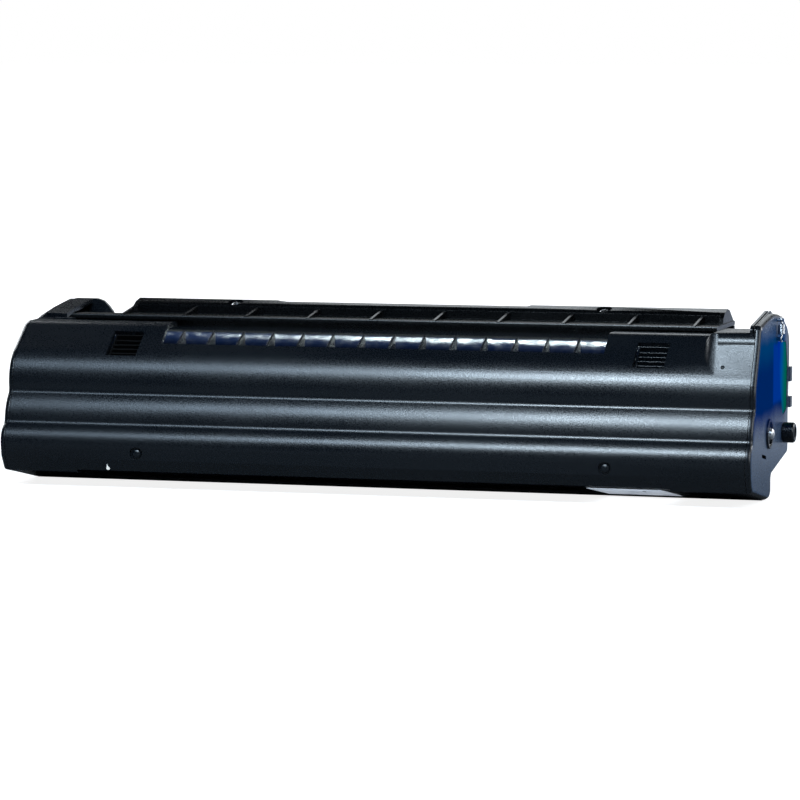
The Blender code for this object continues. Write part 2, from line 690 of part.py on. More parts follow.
def facing_front(name, profile, x, y, z):
    """A turned piece whose axis runs along Y, with the profile's start towards the viewer."""
    return turned(name, profile, x, y, z, HOLE_STEPS, tilt=(math.pi / 2, 0, 0))


def pin_recess(name, x):
    profile = [(5 * MM, 0), (5 * MM, PIN_RECESS), (-PIN_RECESS_DEPTH, PIN_RECESS), (-PIN_RECESS_DEPTH, 0)]
    return facing_front(name, profile, x, PIN_Y, PIN_Z)


def front_pin(name, x):
    """A domed pin seated on the floor of its recess."""
    height = PIN_RECESS_DEPTH
    turns = [math.pi / 2 * i / 4 for i in range(5)]
    dome = [(height * math.cos(a), PIN_RADIUS * math.sin(a)) for a in turns]
    return keep(facing_front(name, dome + [(0.0, 0)], x, PIN_Y + height - GAP, PIN_Z), PLASTIC)


def block_outline():
    """The block's front edge and rounded top corner."""
    corner_end = (BLOCK_FACE_TOP[0] + BLOCK_CORNER, BLOCK_TOP)
    return [BLOCK_FOOT, BLOCK_FACE_TOP] + arc(BLOCK_FACE_TOP, corner_end, BLOCK_CORNER_BULGE, 4)


def corner_block():
    """The raised block that stiffens the hopper's right end, rounded along its left edge and left top corner."""
    outline = block_outline()
    outline += [(TOP_BACK[0], BLOCK_TOP), (TOP_BACK[0], TOP_BACK[1] - SHELL_WALL / 2), (BROW[0], BROW[1] - SHELL_WALL)]
    outline += [(SHOULDER[0] + 1 * MM, SHOULDER[1] - SHELL_WALL)]
    left = BLOCK_FACE_X - BLOCK_ROUND
    block = slab("corner_block", [outline], left - 1 * MM, SHELL_HALF)
    rise = (Vector(BLOCK_FACE_TOP) - Vector(BLOCK_FOOT)).normalized()
    inward = Vector((rise.y, -rise.x))
    turns = [math.pi / 2 * i / 4 for i in range(5)]
    plan = [(BLOCK_FACE_X - BLOCK_ROUND * math.sin(a), BLOCK_ROUND * (1 - math.cos(a))) for a in turns]
    plan += [(left, 5 * BLOCK_ROUND), (left - BLOCK_ROUND, 5 * BLOCK_ROUND), (left - BLOCK_ROUND, -BLOCK_ROUND)]
    plan += [(BLOCK_FACE_X, -BLOCK_ROUND)]
    foot = Vector(BLOCK_FOOT) - rise * 3 * BLOCK_ROUND
    corners = [(x, foot.x + inward.x * depth, foot.y + inward.y * depth) for x, depth in plan]
    cut(block, prism("block_left_edge", corners, (0, rise.x * 10 * BLOCK_ROUND, rise.y * 10 * BLOCK_ROUND)))
    face = [(left + BLOCK_ROUND * (1 - math.cos(a)), BLOCK_TOP - BLOCK_ROUND * (1 - math.sin(a))) for a in turns]
    face += [(left + BLOCK_ROUND, BLOCK_TOP + BLOCK_ROUND), (left - BLOCK_ROUND, BLOCK_TOP + BLOCK_ROUND)]
    face += [(left - BLOCK_ROUND, BLOCK_TOP - BLOCK_ROUND)]
    front = BLOCK_FOOT[0] - BLOCK_ROUND
    cut(block, prism("block_left_corner", [(x, front, z) for x, z in face], (0, TOP_BACK[0] - front + 1 * MM, 0)))
    return block


def slot_frame():
    """The moulded frame behind the laser slot, with its row of ribs, which also carries the metering blade."""
    back = [(DOCTOR_Y, SLOT_FRAME_FOOT[1]), (DOCTOR_Y, SLOT_FRAME_FRONT[0][1])]
    half = BULKHEAD_FACE - GAP
    body = slab("slot_frame", [SLOT_FRAME_FRONT + [SLOT_FRAME_STEP, SLOT_FRAME_FOOT] + back], -half, half)
    front = SLOT_LIP[0] + 2 * GAP
    rib = [(front, SLOT_RIB_FOOT), (SLOT_RIB_BACK, SLOT_RIB_FOOT), (SLOT_RIB_BACK, SLOT_RIB_TOP), (front, SLOT_LIP[1])]
    count = int((SLOT_HALF - SLOT_RIB_FIRST) / SLOT_RIB_PITCH) + 1
    for i in range(count):
        x = SLOT_RIB_FIRST + i * SLOT_RIB_PITCH
        join(body, slab(f"slot_rib_{i}", [rib], x - SLOT_RIB_WALL / 2, x + SLOT_RIB_WALL / 2))
    for x in (-DOCTOR_SCREW_X, DOCTOR_SCREW_X):
        cut(body, doctor_hole("slot_frame_hole", x))
    half = WINDOW_WIDTH / 2 + 1 * MM
    for x in (WINDOW_LEFT, WINDOW_RIGHT):
        low = (x - half, -32 * MM, 60 * MM)
        cut(body, box("louvre_notch", low, (x + half, SLOT_RIB_BACK - 3 * MM, 68 * MM)))
    return keep(body, PLASTIC)


def doctor_hole(name, x):
    """A hole along Y through the bracket and into the frame behind it."""
    radius = DOCTOR_SCREW_RADIUS + GAP
    profile = [(5 * MM, 0), (5 * MM, radius), (-5 * MM, radius), (-5 * MM, 0)]
    return turned(name, profile, x, DOCTOR_Y, DOCTOR_SCREW_Z, 12, tilt=(-math.pi / 2, 0, 0))


def doctor_blade():
    """The metering blade over the developer roller: a steel strip, its rubber edge and two screws."""
    front = DOCTOR_Y + GAP
    back = front + DOCTOR_WALL
    strip = [(front, DOCTOR_LOW), (front, DOCTOR_HIGH), (back, DOCTOR_HIGH), (back, DOCTOR_LOW)]
    bracket = slab("doctor_bracket", [strip], -DOCTOR_HALF, DOCTOR_HALF)
    for x in (-DOCTOR_SCREW_X, DOCTOR_SCREW_X):
        cut(bracket, doctor_hole("bracket_hole", x))
    keep(bracket, STEEL)
    foot = DEVELOPER_Z + DEVELOPER_RADIUS + GAP
    head = back + GAP
    far = head + DOCTOR_BLADE_WALL
    edge = [(head, foot), (head, DOCTOR_BLADE_TOP), (far, DOCTOR_BLADE_TOP), (far, foot)]
    keep(slab("doctor_blade", [edge], -DOCTOR_BLADE_HALF, DOCTOR_BLADE_HALF), BLADE_RUBBER)
    profile = [(1.4 * MM, 0), (1.2 * MM, 1.6 * MM), (0.8 * MM, DOCTOR_SCREW_HEAD), (0, DOCTOR_SCREW_HEAD)]
    profile += [(0, DOCTOR_SCREW_RADIUS), (-4.5 * MM, DOCTOR_SCREW_RADIUS), (-4.5 * MM, 0)]
    for x, word in ((-DOCTOR_SCREW_X, "left"), (DOCTOR_SCREW_X, "right")):
        keep(turned(f"doctor_screw_{word}", profile, x, head, DOCTOR_SCREW_Z, 12, tilt=(-math.pi / 2, 0, 0)), STEEL)


def louvre(name, centre):
    """A framed set of slats set back in a window, along the slope of the hopper."""
    run = WINDOW_RUN - 2 * GAP
    half = WINDOW_WIDTH / 2 - GAP
    low = (centre - half, WINDOW_LOW[0] + GAP, WINDOW_LOW[1] - LOUVRE_DEPTH)
    high = (centre + half, WINDOW_LOW[0] + GAP + run, WINDOW_LOW[1] - LOUVRE_SET_BACK)
    about = (0, *WINDOW_LOW)
    body = box(name, low, high, WINDOW_SLOPE, about)
    pocket_low = [value + LOUVRE_WALL for value in low]
    pocket_high = (high[0] - LOUVRE_WALL, high[1] - LOUVRE_WALL, high[2] + 5 * MM)
    cut(body, box(f"{name}_pocket", pocket_low, pocket_high, WINDOW_SLOPE, about))
    pitch = (run - 2 * LOUVRE_WALL) / (LOUVRE_SLATS + 1)
    for i in range(LOUVRE_SLATS):
        y = low[1] + LOUVRE_WALL + (i + 1) * pitch
        slat_low = (low[0] + LOUVRE_WALL / 2, y - SLAT_WALL / 2, low[2] + LOUVRE_WALL / 2)
        slat_high = (high[0] - LOUVRE_WALL / 2, y + SLAT_WALL / 2, high[2] - SLAT_SET_BACK)
        join(body, box(f"{name}_slat_{i}", slat_low, slat_high, WINDOW_SLOPE, about))
    return keep(body, PLASTIC)


def underside_label():
    """A bare white sheet in the recess under the hopper, with slanted ends."""
    fall = Vector(HEEL) - Vector(LIP)
    unit = fall.normalized()
    down = Vector((unit.y, -unit.x))
    start = Vector(LIP) - down * (RECESS_DEPTH - GAP)
    near = start + unit * LABEL_MARGIN
    far = start + unit * (fall.length - RECESS_BACK - LABEL_MARGIN + 1 * MM)
    left = LABEL_RIGHT - LABEL_LENGTH
    corners = [(left, *near), (LABEL_RIGHT - LABEL_SLANT, *near), (LABEL_RIGHT, *far), (left + LABEL_SLANT, *far)]
    keep(prism("underside_label", corners, (0, down.x * LABEL_WALL, down.y * LABEL_WALL)), PAPER)


def agitator():
    """The paddle that stirs the toner, and its gear."""
    shaft = rod("toner_agitator", SHAFT_RADIUS, -BULKHEAD_FACE - BULKHEAD_WALL, GEAR_HIGH, AGITATOR_Y, AGITATOR_Z)
    half = BULKHEAD_FACE - 4 * MM
    front = AGITATOR_Y - PADDLE_WALL / 2
    back = AGITATOR_Y + PADDLE_WALL / 2
    tip = AGITATOR_Z + AGITATOR_REACH
    join(shaft, slab("paddle", [[(front, AGITATOR_Z), (back, AGITATOR_Z), (back, tip), (front, tip)]], -half, half))
    keep(shaft, INNER_PLASTIC)
    outline = gear(AGITATOR_TEETH, AGITATOR_Y, AGITATOR_Z, SHAFT_RADIUS + GAP, agitator_phase())
    keep(slab("agitator_gear", outline, GEAR_LOW, GEAR_HIGH), GEAR_PLASTIC)


def idler():
    """The gear between the developer roller's and the agitator's, on its stud."""
    outline = gear(IDLER_TEETH, IDLER_Y, IDLER_Z, STUD_RADIUS + RUNNING, idler_phase())
    keep(slab("idler_gear", outline, GEAR_LOW, GEAR_HIGH), GEAR_PLASTIC)
    keep(rod("idler_stud", STUD_RADIUS, BULKHEAD_FACE, GEAR_HIGH + GAP, IDLER_Y, IDLER_Z), STEEL)


def fill_plug():
    """The cap of the filling hole in the left bulkhead, which also bears the agitator."""
    outer = BULKHEAD_FACE + BULKHEAD_WALL
    cap = outer + 2 * MM
    bore = SHAFT_RADIUS + RUNNING
    flange = PLUG_RADIUS + PLUG_FLANGE
    profile = [(cap, flange), (outer + GAP, flange), (outer + GAP, PLUG_RADIUS), (BULKHEAD_FACE, PLUG_RADIUS)]
    profile += [(BULKHEAD_FACE, bore), (cap, bore)]
    keep(turned("fill_plug", profile, 0, AGITATOR_Y, AGITATOR_Z, tilt=(0, -math.pi / 2, 0)), PLASTIC)


def developer():
    """The developer roller: sleeve, fixed magnet, bearings, plain journal and geared drive journal."""
    y, z = DEVELOPER_Y, DEVELOPER_Z
    half = DEVELOPER_HALF
    inner = DEVELOPER_RADIUS - DEVELOPER_WALL
    tube = [(half, DEVELOPER_RADIUS), (-half, DEVELOPER_RADIUS), (-half, inner), (half, inner)]
    keep(turned("developer_sleeve", tube, 0, y, z, 24), SLEEVE)
    end = BULKHEAD_FACE + BULKHEAD_WALL
    core_end = half - MAGNET_END
    magnet = [(end, 0), (end, MAGNET_SHAFT), (core_end, MAGNET_SHAFT), (core_end, MAGNET_RADIUS)]
    magnet += [(-along, radius) for along, radius in reversed(magnet)]
    keep(turned("developer_magnet", magnet, 0, y, z, 12), INNER_PLASTIC)
    bush = JOURNAL_RADIUS + RUNNING
    profile = [(end, BEARING_RADIUS), (BULKHEAD_FACE, BEARING_RADIUS), (BULKHEAD_FACE, bush), (end, bush)]
    for side, word in ((-1, "left"), (1, "right")):
        tilt = (0, side * math.pi / 2, 0)
        keep(turned(f"developer_bearing_{word}", profile, 0, y, z, tilt=tilt), GEAR_PLASTIC)
    bore = MAGNET_SHAFT + RUNNING
    plug = inner - GAP
    stop = half + 4 * GAP
    deep = half - HUB_DEPTH
    hub = [(stop, inner), (half + GAP, inner), (half + GAP, plug), (deep, plug), (deep, bore)]
    left = [(end + 1 * MM, JOURNAL_RADIUS), (stop, JOURNAL_RADIUS)] + hub + [(end + 1 * MM, bore)]
    keep(turned("developer_journal", left, 0, y, z, HOLE_STEPS, tilt=(0, -math.pi / 2, 0)), GEAR_PLASTIC)
    drive = slab("developer_gear", gear(DEVELOPER_TEETH, y, z, bore, developer_phase()), GEAR_LOW, GEAR_HIGH)
    inside = GEAR_LOW + 1 * MM
    right = [(inside, JOURNAL_RADIUS), (stop, JOURNAL_RADIUS)] + hub + [(inside, bore)]
    join(drive, turned("developer_drive_hub", right, 0, y, z, HOLE_STEPS))
    keep(drive, GEAR_PLASTIC)


def drum():
    """The coated drum, its geared hub, its plain hub and the two axle stubs."""
    y, z = DRUM_Y, DRUM_Z
    half = DRUM_HALF
    inner = DRUM_RADIUS - DRUM_WALL
    tube = [(half, DRUM_RADIUS), (-half, DRUM_RADIUS), (-half, inner), (half, inner)]
    keep(turned("opc_drum", tube, 0, y, z, 40), DRUM_COATING)
    bore = AXLE_RADIUS + RUNNING
    flange = DRUM_RADIUS - 0.2 * MM
    deep = half - HUB_DEPTH - 1 * MM
    hub = [(half + 2 * MM, DRUM_NECK), (half + 2 * MM, flange), (half + GAP, flange)]
    hub += [(half + GAP, inner - GAP), (deep, inner - GAP), (deep, bore)]
    drive = slab("drum_gear", gear(DRUM_TEETH, y, z, bore, 0.0), GEAR_LOW, GEAR_HIGH)
    inside = GEAR_LOW + 1 * MM
    join(drive, turned("drum_drive_hub", [(inside, DRUM_NECK)] + hub + [(inside, bore)], 0, y, z, HOLE_STEPS))
    keep(drive, GEAR_PLASTIC)
    plain = [(GEAR_HIGH, DRUM_NECK)] + hub + [(GEAR_HIGH, bore)]
    keep(turned("drum_hub", plain, 0, y, z, HOLE_STEPS, tilt=(0, -math.pi / 2, 0)), GEAR_PLASTIC)
    for side, word, low, high in both_ends(half - HUB_DEPTH - 2 * MM, ARM_HIGH + GAP):
        keep(rod(f"drum_axle_{word}", AXLE_RADIUS, low, high, y, z), STEEL)


def coil(name, radius, turns, start, way):
    """A coil spring as a helix from start along way."""
    way = Vector(way)
    axis = way.normalized()
    side = axis.orthogonal().normalized()
    up = axis.cross(side)
    curve = bpy.data.curves.new(name, "CURVE")
    curve.dimensions = "3D"
    curve.bevel_depth = SPRING_WIRE
    curve.bevel_resolution = 0
    curve.use_fill_caps = True
    spline = curve.splines.new("POLY")
    count = turns * 6
    spline.points.add(count)
    for i, point in enumerate(spline.points):
        angle = 2 * math.pi * i / 6
        place = Vector(start) + way * (i / count)
        place += (side * math.cos(angle) + up * math.sin(angle)) * radius
        point.co = (*place, 1)
    obj = bpy.data.objects.new(name, curve)
    bpy.context.scene.collection.objects.link(obj)
    return keep(obj, STEEL)


def charge_roller():
    """The charge roller in its two sliding bearings, each pressed by a spring."""
    y, z = CHARGE_Y, CHARGE_Z
    end = CHARGE_BEARING_X + CHARGE_BEARING_WIDTH + 1 * MM
    profile = [(end, 0), (end, CHARGE_SHAFT), (CHARGE_HALF, CHARGE_SHAFT), (CHARGE_HALF, CHARGE_RADIUS)]
    profile += [(-along, radius) for along, radius in reversed(profile)]
    keep(turned("charge_roller", profile, 0, y, z), RUBBER)
    half = CHARGE_BEARING_HALF
    square = [(y - half, z - half), (y + half, z - half), (y + half, z + half), (y - half, z + half)]
    outlines = [square, ring(y, z, CHARGE_SHAFT + RUNNING)]
    for side, word, low, high in both_ends(CHARGE_BEARING_X, CHARGE_BEARING_X + CHARGE_BEARING_WIDTH):
        keep(slab(f"charge_bearing_{word}", outlines, low, high), GEAR_PLASTIC)
        start = ((low + high) / 2, y + half + SPRING_WIRE + GAP, z)
        room = COVER_BACK - FRAME_WALL - start[1] - SPRING_WIRE - GAP
        coil(f"charge_spring_{word}", CHARGE_COIL, 4, start, (0, room, 0))


def wiper():
    """The cleaning blade that trails on the drum, on a folded steel bracket."""
    tip = Vector(polar(DRUM_Y, DRUM_Z, DRUM_RADIUS + GAP + 0.1 * MM, WIPER_ANGLE))
    along = Vector((math.cos(WIPER_LEAN), math.sin(WIPER_LEAN)))
    off = Vector((-along.y, along.x))
    end = tip + along * WIPER_REACH
    blade = [tip, end, end + off * WIPER_WALL, tip + off * WIPER_WALL]
    keep(slab("wiper_blade", [[tuple(p) for p in blade]], -WIPER_HALF, WIPER_HALF), BLADE_RUBBER)
    face = off * (WIPER_WALL + GAP)
    path = [WIPER_FOOT, tuple(end + along * 1 * MM + face), tuple(tip + along * WIPER_GRIP + face)]
    reach = WIPER_HALF + WIPER_BRACKET_END
    keep(shell("wiper_bracket", path, -reach, reach, WIPER_STEEL), STEEL)


def drum_frame():
    """The waste side of the drum unit: rear wall, front crossbar and two side arms that reach the hinge."""
    reach = ARM_LOW + 1 * MM
    body = shell("drum_frame", [(COVER_BACK, FRAME_TOP)] + FRAME_REAR, -reach, reach, FRAME_WALL)
    bar_low = (-reach, CROSSBAR_FRONT, CROSSBAR_FOOT)
    join(body, box("crossbar", bar_low, (reach, CROSSBAR_FRONT + CROSSBAR_WALL, FRAME_TOP)))
    for word, low, high in (("left", -reach - 1 * MM, RIDGE_LEFT - 1 * MM), ("right", COVER_RIGHT, reach + 1 * MM)):
        corner = (low, COVER_BACK - 2 * FRAME_WALL, FRAME_END_TOP)
        cut(body, box(f"frame_end_{word}", corner, (high, COVER_BACK + 1 * MM, COVER_TOP)))
    eye = [polar(HINGE_Y, HINGE_Z, ARM_EYE, math.radians(a)) for a in (180, 215, 250, 285, 320)]
    holes = [
        ring(HINGE_Y, HINGE_Z, HINGE_RADIUS + RUNNING),
        ring(DRUM_Y, DRUM_Z, AXLE_RADIUS + GAP),
        ring(SHUTTER_Y, SHUTTER_Z, SHUTTER_ROD + RUNNING),
    ]
    for side, word, low, high in both_ends(ARM_LOW, ARM_HIGH):
        join(body, slab(f"arm_{word}", [ARM_FRONT + eye + ARM_BACK] + holes, low, high))
    return keep(body, PLASTIC)


def shutter():
    """The flap that shades the drum, on a rod between the side arms, with its torsion spring."""
    body = shell("drum_shutter", SHUTTER_ROOT + SHUTTER_FLAP, -SHUTTER_HALF, SHUTTER_HALF, SHUTTER_WALL)
    join(body, rod("shutter_rod", SHUTTER_ROD, -ARM_HIGH, ARM_HIGH, SHUTTER_Y, SHUTTER_Z))
    keep(body, PLASTIC)
    start = (-SHUTTER_HALF - SPRING_WIRE - GAP, SHUTTER_Y, SHUTTER_Z)
    coil("shutter_spring", SHUTTER_ROD + SPRING_WIRE + GAP, 4, start, (-4.2 * MM, 0, 0))


def rear_cover():
    """The ribbed lid of the waste side, with a stepped ridge and two screw recesses."""
    base = COVER_TOP - COVER_WALL
    plan = [(COVER_FRONT, base), (COVER_BACK, base), (COVER_BACK, COVER_TOP), (COVER_FRONT, COVER_TOP)]
    plate = slab("rear_cover", [plan], COVER_LEFT, COVER_RIGHT)
    corner = (COVER_LEFT - 1 * MM, COVER_STRIP_BACK, base - 1 * MM)
    cut(plate, box("left_corner", corner, (RIDGE_LEFT, COVER_BACK + 1 * MM, COVER_TOP + 1 * MM)))
    low = (RIDGE_LEFT + 3 * MM, RIDGE_FRONT + COVER_WALL, base - 2 * MM)
    high = (RIDGE_RIGHT - 3 * MM, RIDGE_REAR - COVER_WALL - 0.4 * MM, COVER_TOP + 1 * MM)
    cut(plate, box("ridge_hollow", low, high))
    path = [(RIDGE_FRONT, base)] + RIDGE_CROWN + [(RIDGE_REAR, COVER_TOP), (RIDGE_REAR, base)]
    ridge = shell("ridge", path, RIDGE_LEFT + 0.5 * MM, RIDGE_RIGHT - 0.5 * MM, COVER_WALL)
    join(plate, ridge)
    end = [(RIDGE_END_FRONT[0][0], base)] + RIDGE_END_FRONT + RIDGE_CROWN[1:] + path[-2:]
    for low, word in ((RIDGE_LEFT, "left"), (RIDGE_RIGHT - 2 * MM, "right")):
        join(plate, slab(f"cover_end_{word}", [end], low, low + 2 * MM))
    cut(plate, ridge_step())
    foot = COVER_TOP - 0.5 * MM
    rib_back = RIDGE_FRONT + 0.5 * MM
    rib = [(COVER_RIB_FRONT, foot), (rib_back, foot), (rib_back, COVER_TOP + COVER_RIB_RISE)]
    rib += [(COVER_RIB_FRONT, COVER_TOP + GAP)]
    count = int((RIDGE_RIGHT - COVER_RIB_FIRST) / COVER_RIB_PITCH) + 1
    for i in range(count):
        x = COVER_RIB_FIRST + i * COVER_RIB_PITCH
        join(plate, slab(f"cover_rib_{i}", [rib], x - COVER_RIB_WALL / 2, x + COVER_RIB_WALL / 2))
    for x, word in ((COVER_SCREW_LEFT, "left"), (COVER_SCREW_RIGHT, "right")):
        cut(plate, cover_recess(f"cover_recess_{word}", x))
    return keep(plate, PLASTIC)


def ridge_step():
    """The shallow cut that lowers the middle of the ridge, with a ramp at each end."""
    floor = RIDGE_TOP - RIDGE_STEP
    above = RIDGE_TOP + RIDGE_STEP
    ramp = 2 * RIDGE_STEP_RAMP
    profile = [(RIDGE_STEP_LEFT - ramp, above), (RIDGE_STEP_LEFT, floor)]
    profile += [(RIDGE_STEP_RIGHT, floor), (RIDGE_STEP_RIGHT + ramp, above)]
    return prism("ridge_step", [(x, RIDGE_FRONT, z) for x, z in profile], (0, COVER_BACK - RIDGE_FRONT, 0))


def cover_recess(name, x):
    bore = COVER_SCREW_SHANK + 0.4 * MM
    profile = [(8 * MM, 0), (8 * MM, COVER_SCREW_RECESS), (0, COVER_SCREW_RECESS), (0, bore), (-8 * MM, bore)]
    return turned(name, profile + [(-8 * MM, 0)], x, COVER_SCREW_Y, COVER_SCREW_Z, tilt=(COVER_SCREW_TILT, 0, 0))


def cover_screw(name, x):
    head = [(1.9 * MM, 0), (1.6 * MM, 1.9 * MM), (1.0 * MM, COVER_SCREW_HEAD), (GAP, COVER_SCREW_HEAD)]
    profile = head + [(GAP, COVER_SCREW_SHANK), (-5 * MM, COVER_SCREW_SHANK), (-5 * MM, 0)]
    tilt = (COVER_SCREW_TILT, 0, 0)
    return keep(turned(name, profile, x, COVER_SCREW_Y, COVER_SCREW_Z, HOLE_STEPS, tilt), STEEL)


def plate_outline(side):
    """The outline of an end housing, which follows the hopper's front."""
    if side > 0:
        path = [point for point in wave() if point[1] < BLOCK_FOOT[1] and point[0] < SHOULDER[0]]
        path += [BLOCK_FOOT, BLOCK_FACE_TOP] + RIGHT_HUMP
    else:
        path = wave() + [LEFT_HUMP_FRONT] + LEFT_HUMP
    return path + REAR_EDGE + UNDER_EDGE


def rear_wall(name):
    """The left housing's rear wall, which reaches in behind the hump and ends in a slope."""
    reach = -LEFT_WALL_REACH
    slope = [(reach, LEFT_WALL_LOW + 2.7 * MM), (reach - 4.2 * MM, LEFT_WALL_HIGH - 2.4 * MM)]
    slope += [(reach - 6.4 * MM, LEFT_WALL_HIGH - 0.4 * MM), (reach - 8.8 * MM, LEFT_WALL_HIGH)]
    outer = -PLATE_LOW - 1 * MM
    face = [(outer, LEFT_WALL_LOW), (reach, LEFT_WALL_LOW)] + slope + [(outer, LEFT_WALL_HIGH)]
    corners = [(x, LEFT_WALL_FRONT, z) for x, z in face]
    return prism(name, corners, (0, LEFT_WALL_BACK - LEFT_WALL_FRONT, 0))


def end_plate(side):
    """An end housing: a plate with the body's outline, a deep rim behind, and its boss, hinge and spring seats."""
    word = "right" if side > 0 else "left"
    holes = [ring(HINGE_Y, HINGE_Z, HINGE_RADIUS + GAP), ring(BOSS_Y, BOSS_Z, BOSS_SPIGOT + GAP)]
    if side > 0:
        holes.append(KEY_SLOT)
    low, high = sorted((side * PLATE_LOW, side * PLATE_HIGH))
    body = slab(f"end_plate_{word}", [plate_outline(side)] + holes, low, high)
    rim = REAR_EDGE if side > 0 else [LEFT_RIM_FRONT] + LEFT_HUMP[1:] + REAR_EDGE
    depth = REAR_RIM_DEPTH if side > 0 else LEFT_HUMP_DEPTH
    low, high = sorted((side * (PLATE_LOW - depth), side * (PLATE_LOW + 1 * MM)))
    join(body, shell(f"rim_{word}", rim, low, high, RIM_WALL))
    if side > 0:
        low, high = PLATE_HIGH - SIDE_PANEL_DEPTH, PLATE_HIGH + 1 * MM
        cut(body, slab("side_panel", [SIDE_PANEL], low, high))
    else:
        join(body, rear_wall("rear_wall"))
    root = side * (PLATE_HIGH - 0.5 * MM)
    collar = [ring(HINGE_Y, HINGE_Z, HINGE_RING, ROUND_STEPS)]
    collar += [ring(HINGE_Y, HINGE_Z, HINGE_RING - HINGE_RING_WALL, ROUND_STEPS)]
    join(body, slab(f"hinge_collar_{word}", collar, *sorted((root, side * (PLATE_HIGH + COLLAR_RISE)))))
    low, high = sorted((root, side * (PLATE_HIGH + LUG_RISE)))
    for tag, (foot, top) in LUGS.items():
        join(body, box(f"lug_{tag}_{word}", (low, LUG_FRONT, foot), (high, LUG_BACK, top)))
    low, high = sorted((root, side * (PLATE_HIGH + SPRING_PEG_REACH)))
    for z, tag in ((SPRING_TOP[side], "top"), (SPRING_TOP[side] - SPRING_SPAN, "foot")):
        join(body, rod(f"spring_peg_{tag}_{word}", SPRING_PEG, low, high, SPRING_Y, z, 10))
    return keep(body, PLASTIC)


def side_pieces(side):
    """Boss, hinge pin and tension spring of one end."""
    word = "right" if side > 0 else "left"
    tilt = (0, side * math.pi / 2, 0)
    tip = PLATE_HIGH + BOSS_REACH
    seat = PLATE_HIGH + GAP
    boss = [(tip, BOSS_RADIUS - 1.4 * MM), (tip - 0.4 * MM, BOSS_RADIUS - 0.5 * MM), (tip - 1.3 * MM, BOSS_RADIUS)]
    boss += [(seat, BOSS_RADIUS), (seat, BOSS_SPIGOT), (PLATE_LOW, BOSS_SPIGOT), (PLATE_LOW, BOSS_BORE)]
    boss += [(tip, BOSS_BORE)]
    keep(turned(f"guide_boss_{word}", boss, 0, BOSS_Y, BOSS_Z, HOLE_STEPS, tilt), PLASTIC)
    pin = [(seat + 2.4 * MM, 0), (seat + 2.2 * MM, HINGE_HEAD * 0.55), (seat + 1.5 * MM, HINGE_HEAD)]
    pin += [(seat, HINGE_HEAD + 0.2 * MM), (seat, HINGE_RADIUS), (ARM_LOW, HINGE_RADIUS), (ARM_LOW, 0)]
    keep(turned(f"hinge_pin_{word}", pin, 0, HINGE_Y, HINGE_Z, ROUND_STEPS, tilt), STEEL)
    end = SPRING_PEG + SPRING_WIRE + GAP
    start = (side * (seat + SPRING_WIRE + SPRING_COIL + 0.1 * MM), SPRING_Y, SPRING_TOP[side] - SPRING_SPAN + end)
    coil(f"tension_spring_{word}", SPRING_COIL, 5, start, (0, 0, SPRING_SPAN - 2 * end))


def build():
    hopper()
    slot_frame()
    doctor_blade()
    louvre("louvre_left", WINDOW_LEFT)
    louvre("louvre_right", WINDOW_RIGHT)
    underside_label()
    front_pin("front_pin_left", PIN_LEFT)
    front_pin("front_pin_right", PIN_RIGHT)
    agitator()
    idler()
    fill_plug()
    developer()
    drum()
    charge_roller()
    wiper()
    drum_frame()
    shutter()
    rear_cover()
    cover_screw("cover_screw_left", COVER_SCREW_LEFT)
    cover_screw("cover_screw_right", COVER_SCREW_RIGHT)
    for side in (-1, 1):
        end_plate(side)
        side_pieces(side)


build()
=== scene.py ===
"""The looks of a printer toner cartridge: finely profiled shells, small metal parts, finishes and a studio."""

import json
import math

import bmesh
import bpy
from bpy.props import FloatProperty, FloatVectorProperty, IntProperty, PointerProperty
from mathutils import Matrix, Vector

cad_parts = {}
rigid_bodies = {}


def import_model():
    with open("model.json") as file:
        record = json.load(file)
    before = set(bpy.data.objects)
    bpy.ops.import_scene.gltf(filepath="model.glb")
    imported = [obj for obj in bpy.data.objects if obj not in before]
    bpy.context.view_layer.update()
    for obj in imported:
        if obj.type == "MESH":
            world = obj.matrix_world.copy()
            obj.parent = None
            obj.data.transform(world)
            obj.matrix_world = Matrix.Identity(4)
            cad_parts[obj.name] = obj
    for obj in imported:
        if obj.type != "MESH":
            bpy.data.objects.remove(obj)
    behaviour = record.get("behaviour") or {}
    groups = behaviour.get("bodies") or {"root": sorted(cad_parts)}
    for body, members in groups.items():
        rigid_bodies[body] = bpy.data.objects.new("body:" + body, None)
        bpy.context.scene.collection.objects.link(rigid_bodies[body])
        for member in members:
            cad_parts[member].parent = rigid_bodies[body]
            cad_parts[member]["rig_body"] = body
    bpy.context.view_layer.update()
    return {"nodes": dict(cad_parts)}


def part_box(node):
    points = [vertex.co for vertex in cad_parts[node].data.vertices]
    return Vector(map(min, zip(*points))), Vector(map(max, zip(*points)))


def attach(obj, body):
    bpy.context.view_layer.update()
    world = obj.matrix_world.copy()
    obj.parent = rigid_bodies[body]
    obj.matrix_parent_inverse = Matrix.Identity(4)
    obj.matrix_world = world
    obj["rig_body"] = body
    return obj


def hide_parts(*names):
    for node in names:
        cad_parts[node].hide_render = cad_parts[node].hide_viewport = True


bl_info = {
    "name": "Toner Cartridge",
    "version": (1, 0, 0),
    "blender": (4, 5, 0),
    "location": "3D View > Sidebar > Cartridge",
    "description": "Builds the shells, small parts and finishes of a toner cartridge",
    "category": "Add Mesh",
}

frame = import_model()

MM = 0.001
SIDES = {"left": -1, "right": 1}

